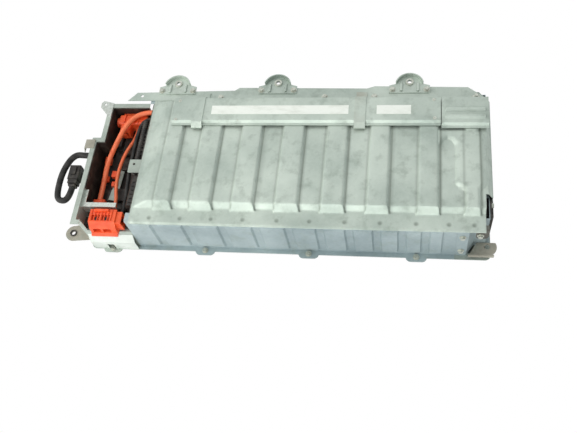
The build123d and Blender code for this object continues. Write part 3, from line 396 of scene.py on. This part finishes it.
def inside_distance(x, y, outline):
    """Distance from each point to the nearest side of a closed outline: positive inside, negative outside."""
    nearest = np.full(x.shape, np.inf)
    inside = np.zeros(x.shape, bool)
    for (ax, ay), (bx, by) in zip(outline, outline[1:] + outline[:1]):
        dx, dy = bx - ax, by - ay
        share = np.clip(((x - ax) * dx + (y - ay) * dy) / (dx ** 2 + dy ** 2), 0, 1)
        nearest = np.minimum(nearest, np.hypot(x - ax - share * dx, y - ay - share * dy))
        crosses = (ay > y) != (by > y)
        inside ^= crosses & (x < ax + (y - ay) * dx / (dy if dy else 1))
    return np.where(inside, nearest, -nearest)


def grid_lines(start, end, edges, coarse, reach, fine):
    """Grid lines every coarse from start to end, and every fine within reach of each edge."""
    lines = [np.arange(start, end, coarse), [end], edges]
    lines += [np.arange(max(start, e - reach), min(end, e + reach), fine) for e in edges]
    lines = np.unique(np.round(np.concatenate(lines), 3))
    keep = np.concatenate([[True], np.diff(lines) > fine * 0.4])
    keep[-1] = True
    return lines[keep]


# ---- sizes and places of the pressing and the bay, in millimetres --------------------------------
def box_mm(node):
    """Lowest and highest corner of a CAD node, in millimetres."""
    low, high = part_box(node)
    return np.array(low) / MM, np.array(high) / MM


SHEET = 1.5
TAB_REACH = 31.0  # how far the cover's tab reaches over the bay
(COVER_X0, COVER_Y0, _), (COVER_X1, COVER_Y1, PANEL_Z) = box_mm("top_cover")
COVER_X0 += TAB_REACH
COVER_LENGTH = COVER_X1 - COVER_X0
FIELD_RISE, PANEL_RISE = 18.0, 6.0
LEDGE_Z = PANEL_Z - PANEL_RISE - FIELD_RISE
CORNER_STEP, CORNER_STEP_Y = 17.0, COVER_Y0 + 89
CORNER_CUT_X, CORNER_CUT_Y = 24.0, 30.0

SLOPE_FOOT_Y = COVER_Y0 + 44.0
REAR_FOOT_Y = COVER_Y1 - 24.0
SLOPE_RUN = 11.0
DOME_LEFT_MARGIN, DOME_LEFT_RUN, DOME_LEFT_BEND = 9.0, 34.0, 3.0
DOME_RIGHT_MARGIN, DOME_RIGHT_RUN = 2.0, 9.0
SLOPES_MEET = 0.06  # rounding between two slopes of the field, as a share of its rise

PANELS = ((0.068, 0.052), (0.173, 0.065), (0.293, 0.066), (0.415, 0.068), (0.542, 0.066), (0.665, 0.062),
          (0.801, 0.059))  # start and width of each raised panel, as shares of the cover's length
PANEL_TOE = 5.0  # how far before the field's slope a panel's begins
PANEL_SLOPE_RUN = SLOPE_RUN + 2
PANEL_REAR_Y = box_mm("rear_brace")[1][1]
PANEL_REAR_RUN = 8.0
FLANK_RUN = 7.0
SIDE_MARGIN, SIDE_RUN, SIDE_BEND, SIDE_LIFT = 1.5, 3.0, 0.8, 1.0  # the steep lower part of a flank
PANEL_BLEND = 0.5  # rounding where a panel leaves the field

END_PANEL_X = COVER_X1 - 14
END_PANEL_REAR_Y = 71.0
END_PANEL_MARGIN, END_PANEL_RUN, END_PANEL_BEND = 2.0, 9.0, 2.0
NECK = (COVER_X1 - 64, COVER_X1 - 29)  # where the end panel runs out over the front slope
NECK_Y = -98.0
GROOVE_X, GROOVE_FRONT_Y, GROOVE_REAR_Y = COVER_X1 - 84, -81.0, 24.0
GROOVE_WIDTH = 26.0

WELD_ROW_Y = COVER_Y0 + 17
FRONT_WELDS = (0.06, 0.15, 0.24, 0.33, 0.425, 0.515, 0.61, 0.705, 0.8, 0.885, 0.95)  # shares of the length
REAR_WELDS = (0.08, 0.3, 0.52, 0.72, 0.9)
DIMPLE_SPREAD = 1.6  # dimple's radius over the width of its bell curve
ROLL_MARGIN, ROLL_RUN, ROLL_BEND = 0.5, 4.0, 1.0  # the rolled front edge

DIMPLE_DARKENING, DIMPLE_DARKENING_RADIUS = 0.6, 5.4  # a darker spot in each dimple, and how far it reaches
# painted shade at the foot of each panel's right flank, weaker at its left, and how wide it runs
RIGHT_FLANK_SHADE, RIGHT_FLANK_SHADE_WIDTH = 0.75, 2.6
LEFT_FLANK_SHADE, LEFT_FLANK_SHADE_WIDTH = 0.35, 3.0
WAVE_X, WAVE_X_BEND, WAVE_Y, WAVE_Y_BEND = 41.0, 63.0, 37.0, 59.0  # lengths of the slack waves, over a turn

LIP_DEPTH, LIP_GAP = 24.0, 0.6
STRIP_END_INSET, STRIP_FACE_INSET = 8.0, 6.5  # from the cover's corner
TAB_HOLE, TAB_HOLE_R = (COVER_X0 - 18, -25.0), 3.2
TAB_FRONT_Y, TAB_REAR_Y = -50.0, -12.0
TAB_SIDES = 48

BAY_FLANGE = 11.0
BAY_X, BAY_REAR_Y = box_mm("bay_frame")[0][0] + BAY_FLANGE, box_mm("bay_frame")[1][1] - BAY_FLANGE
LINER_SHEET, LINER_GAP = 1.8, 1.7


class BATTERY_PG_sizes(bpy.types.PropertyGroup):
    """Sizes of the pack's looks, in millimetres, and the colour of its floor."""
    bend: bpy.props.FloatProperty(
        name="Bends", description="Rounding of the pressing's bends, in millimetres", default=1.6)
    crease: bpy.props.FloatProperty(
        name="Creases", description="Rounding where two pressed faces meet, in millimetres", default=1.2)
    rolled_edge: bpy.props.FloatProperty(
        name="Rolled edge", description="Drop of the cover's rolled front edge, in millimetres", default=3.2)
    dimple_radius: bpy.props.FloatProperty(
        name="Dimple radius", description="Radius of a spot weld's dimple, in millimetres", default=5.6)
    dimple_depth: bpy.props.FloatProperty(
        name="Dimple depth", description="Depth of a spot weld's dimple, in millimetres", default=0.9)
    waviness: bpy.props.FloatProperty(
        name="Waviness", description="Height of the sheet's slack waves, in millimetres", default=0.35)
    edge_bevel: bpy.props.FloatProperty(
        name="Edge bevel", description="Bevel on folded sheet edges, in millimetres", default=0.45)
    floor_colour: bpy.props.FloatVectorProperty(
        name="Floor", description="Colour in which the camera sees the floor", default=(1.0, 1.0, 1.0),
        subtype="COLOR")


class BATTERY_OT_finish(bpy.types.Operator):
    """Give every CAD node its material and soften the edges of its sheets"""
    bl_idname = "battery.finish"
    bl_label = "Finish the CAD nodes"

    def execute(self, context):
        MATERIALS.update(all_materials())
        slots = {s["node"]: s["material_slot"] for s in frame["record"]["subparts"]}
        for name, thing in frame["nodes"].items():
            thing.data.materials.clear()
            thing.data.materials.append(MATERIALS[FINISHES.get(name, slots[name])])
            bevel(thing, context.scene.battery.edge_bevel)
        return {"FINISHED"}


# ---- the cover's pressing ------------------------------------------------------------------------
def panel_spans():
    """Start and end along X of each raised panel, with the end panel's neck last."""
    spans = [(COVER_X0 + s * COVER_LENGTH, COVER_X0 + (s + w) * COVER_LENGTH) for s, w in PANELS]
    return spans + [NECK]


def end_panel_outline():
    """Plan of the broad panel at the right end, round the blind end of the last groove."""
    right, groove, last = END_PANEL_X, GROOVE_X, panel_spans()[-2][1]
    front, rear = GROOVE_FRONT_Y, GROOVE_REAR_Y
    return [(last - 8, rear), (last - 8, END_PANEL_REAR_Y), (right - 26, END_PANEL_REAR_Y), (right - 8, 62),
            (right, 42), (right - 1, front - 1), (NECK[1], NECK_Y), (NECK[0], NECK_Y), (groove, front),
            (groove, rear), (groove - 7, rear + 14), (groove - 17, rear + 19),
            (groove - GROOVE_WIDTH, rear + 14), (last + 2, rear)]


def weld_points():
    """Centres of the spot welds: a row along the front ledge and one along the rear ledge."""
    rows = ((FRONT_WELDS, WELD_ROW_Y), (REAR_WELDS, REAR_FOOT_Y + 3))
    return [(COVER_X0 + share * COVER_LENGTH, y) for shares, y in rows for share in shares]


def cover_height(x, y, sizes):
    """The pressing's height over its ledge. The field is FIELD_RISE times the least of four rises, one from
    each side. A panel is the lesser of a profile along Y and one across its flanks, and the end panel is two
    rises of the distance inside its outline; the greatest of all stands. Bell curves sink the dimples, a rise
    drops the front edge, and a product of two bent sines makes the sheet slack."""
    bend, crease = sizes.bend, sizes.crease
    rear_slope = rise(REAR_FOOT_Y - y, SLOPE_RUN, bend)
    field = lesser(rise(y - SLOPE_FOOT_Y, SLOPE_RUN, bend), rear_slope, SLOPES_MEET)
    left_end = rise(x - COVER_X0 - DOME_LEFT_MARGIN, DOME_LEFT_RUN, DOME_LEFT_BEND)
    right_end = rise(COVER_X1 - DOME_RIGHT_MARGIN - x, DOME_RIGHT_RUN, bend)
    height = FIELD_RISE * lesser(field, lesser(left_end, right_end, SLOPES_MEET), SLOPES_MEET)
    front = (FIELD_RISE + PANEL_RISE) * rise(y - SLOPE_FOOT_Y + PANEL_TOE, PANEL_SLOPE_RUN, bend)
    rear = FIELD_RISE * rear_slope + PANEL_RISE * rise(PANEL_REAR_Y - y, PANEL_REAR_RUN, bend)
    along = lesser(front, rear, crease)
    for start, end in panel_spans():
        flank = rise(x - start, FLANK_RUN, bend) + rise(end - x, FLANK_RUN, bend) - 1
        left_side = rise(x - start + SIDE_MARGIN, SIDE_RUN, SIDE_BEND)
        side = left_side + rise(end + SIDE_MARGIN - x, SIDE_RUN, SIDE_BEND) - 1
        across = (FIELD_RISE + SIDE_LIFT) * side + (PANEL_RISE - SIDE_LIFT) * flank
        height = greater(height, lesser(along, across, crease) - PANEL_BLEND / 2, PANEL_BLEND)
    inward = inside_distance(x, y, end_panel_outline())
    foot = FIELD_RISE * rise(inward + END_PANEL_MARGIN, END_PANEL_MARGIN, PANEL_BLEND)
    broad = foot + PANEL_RISE * rise(inward, END_PANEL_RUN, END_PANEL_BEND)
    height = greater(height, broad - PANEL_BLEND / 2, PANEL_BLEND)
    spread = (sizes.dimple_radius / DIMPLE_SPREAD) ** 2
    for wx, wy in weld_points():
        height -= sizes.dimple_depth * np.exp(-((x - wx) ** 2 + (y - wy) ** 2) / spread)
    height -= sizes.rolled_edge * (1 - rise(y - COVER_Y0 - ROLL_MARGIN, ROLL_RUN, ROLL_BEND))
    slack = np.sin(x / WAVE_X + 2 * np.sin(y / WAVE_X_BEND))
    slack = slack * np.sin(y / WAVE_Y + 1.3 * np.sin(x / WAVE_Y_BEND))
    return height + sizes.waviness * slack * np.clip(height / FIELD_RISE, 0, 1)


def cover_shade_and_dimple_spots(x, y):
    """How dark the cover is painted, the most of: a flat-topped darker spot in each dimple, and painted shade
    in bell curves of the distance from the foot of each panel's right and left flank."""
    flank_shade_and_dimple_spots = np.zeros(x.shape)
    for wx, wy in weld_points():
        flank_shade_and_dimple_spots = np.maximum(flank_shade_and_dimple_spots, DIMPLE_DARKENING * np.exp(-(np.hypot(x - wx, y - wy) / DIMPLE_DARKENING_RADIUS) ** 4))
    for start, end in panel_spans():
        right = RIGHT_FLANK_SHADE * np.exp(-((x - end - 2) / RIGHT_FLANK_SHADE_WIDTH) ** 2) * (y > SLOPE_FOOT_Y - 4)
        left = LEFT_FLANK_SHADE * np.exp(-((x - start + 1) / LEFT_FLANK_SHADE_WIDTH) ** 2) * (y > SLOPE_FOOT_Y)
        flank_shade_and_dimple_spots = np.maximum(flank_shade_and_dimple_spots, np.maximum(right, left))
    return flank_shade_and_dimple_spots


def cover_sheet(sizes):
    """The pressing as a grid, finer at its bends: the grid is drawn in at the clipped rear corner, and the
    cells of the step at the front corner are left out."""
    x_edges = [e for start, end in panel_spans() for e in (start + 2, end - 2)]
    x_edges += [x for x, _ in weld_points()]
    x_edges += [COVER_X1 - CORNER_STEP, GROOVE_X, GROOVE_X - GROOVE_WIDTH, COVER_X1 - DOME_RIGHT_RUN]
    y_edges = [COVER_Y0 + 2, WELD_ROW_Y, SLOPE_FOOT_Y, SLOPE_FOOT_Y + 8, REAR_FOOT_Y - 4, PANEL_REAR_Y - 4,
               CORNER_STEP_Y, GROOVE_FRONT_Y - 1, NECK_Y + 1, GROOVE_REAR_Y + 14, END_PANEL_REAR_Y - 5]
    xs = grid_lines(COVER_X0, COVER_X1, x_edges, coarse=14, reach=7, fine=1.7)
    ys = grid_lines(COVER_Y0, COVER_Y1, y_edges, coarse=9, reach=9, fine=1.6)
    x, y = np.meshgrid(xs, ys, indexing="ij")
    anchor = COVER_X1 - 60
    cut = np.clip((y - COVER_Y1 + CORNER_CUT_Y) / CORNER_CUT_Y, 0, 1)
    reach = COVER_X1 - CORNER_CUT_X * cut
    x = np.where(x > anchor, anchor + (x - anchor) * (reach - anchor) / (COVER_X1 - anchor), x)
    points = np.stack([x, y, LEDGE_Z + cover_height(x, y, sizes)], -1).reshape(-1, 3)
    middle_x, middle_y = (xs[1:] + xs[:-1]) / 2, (ys[1:] + ys[:-1]) / 2
    keep = ~((middle_x[:, None] > COVER_X1 - CORNER_STEP) & (middle_y[None, :] < CORNER_STEP_Y))
    faces = grid_faces(len(xs), len(ys), keep)
    sheet = make_mesh("cover_sheet", points, faces, "cover_steel")
    # painted shade at the panel flanks and darker dimple spots, kept on the sheet for its material
    sheet.data.attributes.new("flank_shade_and_dimple_spots", "FLOAT", "POINT").data.foreach_set("value", cover_shade_and_dimple_spots(x, y).ravel())
    return gauge(sheet, SHEET)


def cover_tab():
    """The drilled tab over the bay: from the hole's circle, rays go out to the rectangle's edge, each as long
    as the nearer wall allows, with a ring of points at the hole, one part of the way and one at the edge."""
    turn = np.linspace(0, 2 * np.pi, TAB_SIDES, endpoint=False)
    ray = np.stack([np.cos(turn), np.sin(turn)], -1)
    low, high = (COVER_X0 - TAB_REACH, TAB_FRONT_Y), (COVER_X0 + 1, TAB_REAR_Y)
    with np.errstate(divide="ignore"):
        far = np.abs((np.where(ray > 0, high, low) - TAB_HOLE) / ray).min(axis=1)
    shares = np.array((0, 0.3, 1))[:, None]
    plan = TAB_HOLE + ray * (TAB_HOLE_R + shares * (far - TAB_HOLE_R))[..., None]
    points = np.concatenate([plan, np.full((*plan.shape[:2], 1), LEDGE_Z)], -1).reshape(-1, 3)
    faces = ring_faces(len(shares), TAB_SIDES)[:, ::-1]
    return gauge(make_mesh("cover_tab", points, faces, "bay_steel", smooth=False), SHEET)


class BATTERY_OT_cover(bpy.types.Operator):
    """Re-make the ribbed lid as one pressed sheet with rounded bends, dimples, a lip and a tab"""
    bl_idname = "battery.cover"
    bl_label = "Press the cover"

    def execute(self, context):
        sheet = cover_sheet(context.scene.battery)
        lip = ((COVER_X1 - SHEET, CORNER_STEP_Y, LEDGE_Z - LIP_DEPTH),
               (COVER_X1, COVER_Y1 - CORNER_CUT_Y, LEDGE_Z - LIP_GAP))
        blocks("cover_lip", [lip], "galvanised_steel", round_mm=0.6)
        cover_tab()
        (_, _, wall_foot), (wall_end, _, wall_top) = box_mm("rear_wall")
        face_y = COVER_Y1 - STRIP_FACE_INSET
        strip = ((wall_end - 1, face_y - SHEET, wall_foot), (COVER_X1 - STRIP_END_INSET, face_y, wall_top))
        blocks("rear_corner_strip", [strip], "wall_steel", round_mm=0.4)
        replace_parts(sheet, "top_cover")
        return {"FINISHED"}


# ---- wiring --------------------------------------------------------------------------------------
CABLE_LONG = [(-360, 141, 141), (-394, 141, 141), (-426, 104, 141), (-446, 50, 131), (-462, -4, 120),
              (-468, -60, 100), (-468, -104, 100)]
CABLE_SHORT = [(-404, 112, 112), (-404, 80, 112), (-422, 36, 114), (-430, -16, 114), (-429, -68, 110),
               (-420, -108, 106), (-420, -148.5, 106)]
LOOM = [(-360, 120, 139), (-380, 120, 139), (-392, 84, 134), (-394, 22, 130), (-394, -48, 126),
        (-391, -108, 118), (-391, -152.5, 118)]
HARNESS = [(-501, 24, 112), (-529, 24, 112), (-563, 26, 114), (-585, -22, 110), (-589, -78, 102),
           (-581, -106, 100), (-552, -104, 100), (-552, -58, 100)]
CABLES = (  # CAD node, route, radius, finish and slot
    ("power_cable_long", CABLE_LONG, 6.5, "orange_sheath"),
    ("power_cable_short", CABLE_SHORT, 4.5, "orange_sheath"),
    ("cable_loom", LOOM, 5.0, "harness_tape"),
    ("harness_loop", HARNESS, 8.0, "harness_tape"),
)


class BATTERY_OT_wiring(bpy.types.Operator):
    """Lay the orange power cables, the loom and the taped harness as smooth round cables"""
    bl_idname = "battery.wiring"
    bl_label = "Lay the wiring"

    def execute(self, context):
        for node, points, radius, slot in CABLES:
            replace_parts(route(node + "_round", points, radius, slot), node)
        tape_collars()
        return {"FINISHED"}


def tape_collars():
    """Short collars of tape and sleeve where the harness leaves the wall and enters its plug."""
    (x, y, z), (plug_x, plug_y, plug_z) = HARNESS[0], HARNESS[-1]
    collars = [((x - out - 3, y - half, z - half), (x - out + 3, y + half, z + half))
               for out, half in ((6, 9.6), (15, 9.0))]
    collars.append(((plug_x - 10, plug_y - 8, plug_z - 10), (plug_x + 10, plug_y, plug_z + 10)))
    blocks("harness_collars", collars, "black_plastic", round_mm=4.0)


# ---- brace and hangers ---------------------------------------------------------------------------
FOOT_HOLE_INSET, FOOT_SHEET = 21.0, 3.0
HANGER_SEAT = 2.3  # from the plate's underside to the foot of its nut and ribs, just inside the plate
HANGER_HOLE_INSET = 22.0  # hanger's rear edge to its hole
HANGER_RIB = (17.0, 24.0)  # inner and outer side of a rib, from the hanger's middle
HANGER_RIB_HEIGHT = 4.1


class BATTERY_OT_brace(bpy.types.Operator):
    """Add the brace's rivets, the corner stud's ring, the foot's bush, and the hangers' ribs and nuts"""
    bl_idname = "battery.brace"
    bl_label = "Dress the brace and hangers"

    def execute(self, context):
        (x0, y0, _), (x1, y1, _) = box_mm("corner_stud")
        centre = ((x0 + x1) / 2, (y0 + y1) / 2, LEDGE_Z + 1.2)
        disc("corner_stud_ring", centre, "zinc_bolt", radius=11.5, height=2.2, hole=6.4)
        (x0, y0, z0), _ = box_mm("front_left_foot")
        centre = (x0 + FOOT_HOLE_INSET, y0 + FOOT_HOLE_INSET, z0 + FOOT_SHEET)
        disc("foot_bush", centre, "black_plastic", radius=9.0, height=2.4, hole=5.5)
        (x0, y0, _), (x1, y1, top) = box_mm("rear_brace")
        rivets = ((x0 + 12, y0 + 12), (x0 + 14, y1 - 11), (x1 - 14, y0 + 16), (x1 - 16, y1 - 11))
        for n, (x, y) in enumerate(rivets, 1):
            disc(f"brace_rivet_{n}", (x, y, top - SINK), "zinc_bolt", radius=4.2, height=1.4, hole=1.4)
        for n in (1, 2, 3):
            (x0, y0, z0), (x1, y1, _) = box_mm(f"arch_bracket_{n}")
            middle, hole_y, seat = (x0 + x1) / 2, y1 - HANGER_HOLE_INSET, z0 + HANGER_SEAT
            disc(f"hanger_nut_{n}", (middle, hole_y, seat), "zinc_bolt", radius=10.0, height=4.2, hole=5.6)
            inner, outer = HANGER_RIB
            ribs = [((middle + left, y0 + 4, seat), (middle + right, hole_y - 3, seat + HANGER_RIB_HEIGHT))
                    for left, right in ((-outer, -inner), (inner, outer))]
            blocks(f"hanger_ribs_{n}", ribs, "galvanised_steel", round_mm=1.8)
        return {"FINISHED"}


# ---- connectors and the bay's small parts --------------------------------------------------------
RIB_COUNT, RIB_PITCH, RIB_WIDTH, RIB_HEIGHT = 7, 8.6, 2.2, 2.4
CONTACT_PITCH = 26.0
RELAY_CAPS = ((9, 126, 16, 20, 14), (13, 146, 8, 12, 9), (35, 86, 16, 18, 12), (39, 60, 14, 14, 9),
              (17, 74, 12, 16, 8))  # left, front, width, depth and height of each, as standing() takes them
RELAY_LIDS = ((47, 160, 38, 56, 6), (57, 20, 26, 36, 4), (29, 180, 14, 40, 12), (55, 112, 24, 36, 3))
LID_SINK = 8.0
HOSE_X, HOSE_Z = COVER_X0 - 16, LEDGE_Z - 10
HOSE_REAR_Y, HOSE_FRONT_Y = 110.0, -52.0


class BATTERY_OT_connectors(bpy.types.Operator):
    """Add the ribs, latches, clips and terminals of the orange connectors and the black parts beside them"""
    bl_idname = "battery.connectors"
    bl_label = "Detail the connectors"

    def execute(self, context):
        (x0, y0, z0), (x1, y1, z1) = box_mm("lower_connector")
        starts = [x0 + 5 + RIB_PITCH * n for n in range(RIB_COUNT)]
        ribs = [((x, y0 + 22, z1 - SINK), (x + RIB_WIDTH, y1 - 1, z1 + RIB_HEIGHT)) for x in starts]
        side_rail = ((x0 - 2.6, y0 + 24, z0 + 4), (x0 + SINK, y1 - 6, z1 - 8))
        shoulder = ((x0 + 12, y1 - 8, z1), (x0 + 50, y1 - 2, z1 + 7))
        ribs += [side_rail, shoulder]
        blocks("lower_connector_ribs", ribs, "orange_plastic", round_mm=0.7)
        starts = [x0 + 15 + CONTACT_PITCH * n for n in range(2)]
        contacts = [((x, y0 + 24, z1 - 5.8), (x + 6, y0 + 34, z1 - 2)) for x in starts]
        side_pin = ((x1 - 9, y0 + 34, z0 + 12), (x1 - 5, y0 + 40, z0 + 26))
        pins = [*contacts, side_pin]
        blocks("lower_connector_pins", pins, "black_plastic", round_mm=0.4)
        (x0, y0, z0), (x1, y1, z1) = box_mm("upper_connector")
        left_clip = ((x0 + 20, y0 + 27, z1 - SINK), (x0 + 25, y1 - 12, z1 + 4))
        latch = ((x0 + 34, y0 + 27, z1 - SINK), (x0 + 50, y0 + 36, z1 + 6))
        right_clip = ((x0 + 58, y0 + 26, z1 - SINK), (x0 + 62, y1 - 12, z1 + 3))
        front_lug = ((x0 + 14, y0 - 3, z0 + 12), (x0 + 34, y0 + 1, z0 + 24))
        side_lug = ((x1 - 14, y0 + 18, z0 + 5), (x1 - 2, y0 + 25, z0 + 27))
        clips = [left_clip, latch, right_clip, front_lug, side_lug]
        blocks("upper_connector_clips", clips, "orange_plastic", round_mm=0.8)
        return {"FINISHED"}


class BATTERY_OT_bay(bpy.types.Operator):
    """Add the small parts on the relay housing and the ribbed breather hose along the cover's edge"""
    bl_idname = "battery.bay"
    bl_label = "Fill the cable bay"

    def execute(self, context):
        (x0, y0, _), (_, _, deck) = box_mm("relay_box")
        caps = standing((x0, y0, deck), RELAY_CAPS)
        blocks("relay_terminal_caps", caps, "orange_plastic", round_mm=1.5)
        lids = standing((x0, y0, deck), RELAY_LIDS, LID_SINK)
        blocks("relay_lids", lids, "relay_nylon", round_mm=2.0)
        liner_y = BAY_REAR_Y - LINER_GAP
        liner = ((BAY_X + 24, liner_y - LINER_SHEET, 30), (COVER_X0 - 14, liner_y, LEDGE_Z - 4))
        blocks("bay_rear_liner", [liner], "liner_sheet", round_mm=0.3)
        rear, front = (HOSE_X, HOSE_REAR_Y, HOSE_Z), (HOSE_X, HOSE_FRONT_Y, HOSE_Z)
        ribbed_tube("breather_hose", rear, front, "black_plastic", radius=6.6, wave=1.2, pitch=6.5)
        return {"FINISHED"}


# ---- stage, in metres ----------------------------------------------------------------------------
IMAGE_SIZE = (577, 433)
CAMERA_LENS, CAMERA_SENSOR = 44.5, 36.0
CAMERA_RIGHT = (0.985965, 0.098010, -0.135155)
CAMERA_UP = (-0.022527, 0.880244, 0.473986)
CAMERA_BACK = (0.165425, -0.464289, 0.870098)
CAMERA_PLACE = (0.3049, -0.9322, 1.5915)
LAMPS = (  # name, place, side of the square, power in watts, colour
    ("key", (-2.6, -0.9, 2.2), 3.6, 84, (1.0, 0.99, 0.96)),
    ("front", (-0.4, -3.2, 0.5), 2.2, 40, (0.98, 1.0, 0.98)),
    ("top", (0.0, 1.2, 3.2), 3.2, 16, (1.0, 1.0, 1.0)),
)
SKY_COLOUR = (0.94, 0.98, 0.98, 1)
SKY_HORIZON, SKY_OVERHEAD = 1.25, 0.56  # strength at the horizon and above
SKY_BAND = 0.5  # height of the unit direction at which the sky has reached its strength overhead
FLOOR_HALF, FLOOR_Z, FLOOR_GREY = 9, -0.0005, 0.8


class BATTERY_OT_stage(bpy.types.Operator):
    """Set the camera, the light and the white floor"""
    bl_idname = "battery.stage"
    bl_label = "Set the stage"

    def execute(self, context):
        scene = context.scene
        add_camera(scene)
        floor = make_floor(context)
        for name, stand, size, power, colour in LAMPS:
            lamp = bpy.data.lights.new(name, "AREA")
            lamp.size = size
            lamp.energy = power
            lamp.color = colour
            thing = bpy.data.objects.new(name, lamp)
            scene.collection.objects.link(thing)
            thing.location = stand
            thing.rotation_euler = (-Vector(stand)).to_track_quat("-Z", "Y").to_euler()
        add_sky(scene)
        scene.view_settings.view_transform = "Standard"
        return {"FINISHED"}


def add_camera(scene):
    """The camera, given by its three axes and its place."""
    data = bpy.data.cameras.new("camera")
    data.lens = CAMERA_LENS
    data.sensor_width = CAMERA_SENSOR
    data.clip_end = 50
    camera = bpy.data.objects.new("camera", data)
    scene.collection.objects.link(camera)
    camera.matrix_world = Matrix([*zip(CAMERA_RIGHT, CAMERA_UP, CAMERA_BACK, CAMERA_PLACE), (0, 0, 0, 1)])
    scene.camera = camera
    scene.render.resolution_x, scene.render.resolution_y = IMAGE_SIZE


def camera_sees(tree, plain, lit, output):
    """The camera sees plain; all other rays meet lit."""
    camera_ray = add_node(tree, "ShaderNodeLightPath").outputs["Is Camera Ray"]
    both = add_node(tree, "ShaderNodeMixShader", {0: camera_ray, 1: lit, 2: plain})
    tree.links.new(both.outputs[0], output.inputs["Surface"])


def add_sky(scene):
    """A sky that is brighter at the horizon than overhead; the camera sees it as plain white."""
    world = bpy.data.worlds.new("sky")
    scene.world = world
    world.use_nodes = True
    tree = world.node_tree
    direction = add_node(tree, "ShaderNodeTexCoord").outputs["Generated"]
    height = add_node(tree, "ShaderNodeSeparateXYZ", {0: direction}).outputs["Z"]
    span = {"Value": height, "From Min": 0.0, "From Max": SKY_BAND,
            "To Min": SKY_HORIZON, "To Max": SKY_OVERHEAD}
    band = add_node(tree, "ShaderNodeMapRange", span, interpolation_type="SMOOTHSTEP")
    sky = tree.nodes["Background"]
    sky.inputs["Color"].default_value = SKY_COLOUR
    tree.links.new(band.outputs["Result"], sky.inputs["Strength"])
    plain = add_node(tree, "ShaderNodeBackground", {"Color": (1, 1, 1, 1), "Strength": 1.0})
    camera_sees(tree, plain.outputs[0], sky.outputs[0], tree.nodes["World Output"])


def make_floor(context):
    """A large pale floor just under the pack; the camera sees it as plain white."""
    mesh = bpy.data.meshes.new("floor")
    corners = ((-1, -1), (1, -1), (1, 1), (-1, 1))
    mesh.from_pydata([(FLOOR_HALF * x, FLOOR_HALF * y, FLOOR_Z) for x, y in corners], [], [(0, 1, 2, 3)])
    material = bpy.data.materials.new("white_floor")
    material.use_nodes = True
    tree = material.node_tree
    shader = tree.nodes["Principled BSDF"]
    shader.inputs["Base Color"].default_value = (FLOOR_GREY, FLOOR_GREY, FLOOR_GREY, 1)
    shader.inputs["Roughness"].default_value = 0.9
    seen = {"Color": (*context.scene.battery.floor_colour, 1), "Strength": 1.0}
    glow = add_node(tree, "ShaderNodeEmission", seen)
    camera_sees(tree, glow.outputs[0], shader.outputs[0], tree.nodes["Material Output"])
    mesh.materials.append(material)
    thing = bpy.data.objects.new("floor", mesh)
    context.scene.collection.objects.link(thing)
    return thing


class BATTERY_PT_panel(bpy.types.Panel):
    """Sizes and steps of the battery pack"""
    bl_idname = "BATTERY_PT_panel"
    bl_label = "Traction battery"
    bl_space_type = "VIEW_3D"
    bl_region_type = "UI"
    bl_category = "Battery"

    def draw(self, context):
        for name in BATTERY_PG_sizes.__annotations__:
            self.layout.prop(context.scene.battery, name)
        for operator in OPERATORS:
            self.layout.operator(operator.bl_idname)


OPERATORS = [BATTERY_OT_finish, BATTERY_OT_cover, BATTERY_OT_wiring, BATTERY_OT_brace, BATTERY_OT_connectors,
             BATTERY_OT_bay, BATTERY_OT_stage]
CLASSES = [BATTERY_PG_sizes] + OPERATORS + [BATTERY_PT_panel]


def register():
    """Register the classes and hang the sizes on the scene."""
    for cls in CLASSES:
        bpy.utils.register_class(cls)
    bpy.types.Scene.battery = bpy.props.PointerProperty(type=BATTERY_PG_sizes)


def unregister():
    """Take the sizes and the classes away again."""
    del bpy.types.Scene.battery
    for cls in reversed(CLASSES):
        bpy.utils.unregister_class(cls)


def main():
    """Register the add-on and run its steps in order."""
    register()
    bpy.ops.battery.finish()
    bpy.ops.battery.cover()
    bpy.ops.battery.wiring()
    bpy.ops.battery.brace()
    bpy.ops.battery.connectors()
    bpy.ops.battery.bay()
    bpy.ops.battery.stage()


if __name__ == "__main__":
    main()
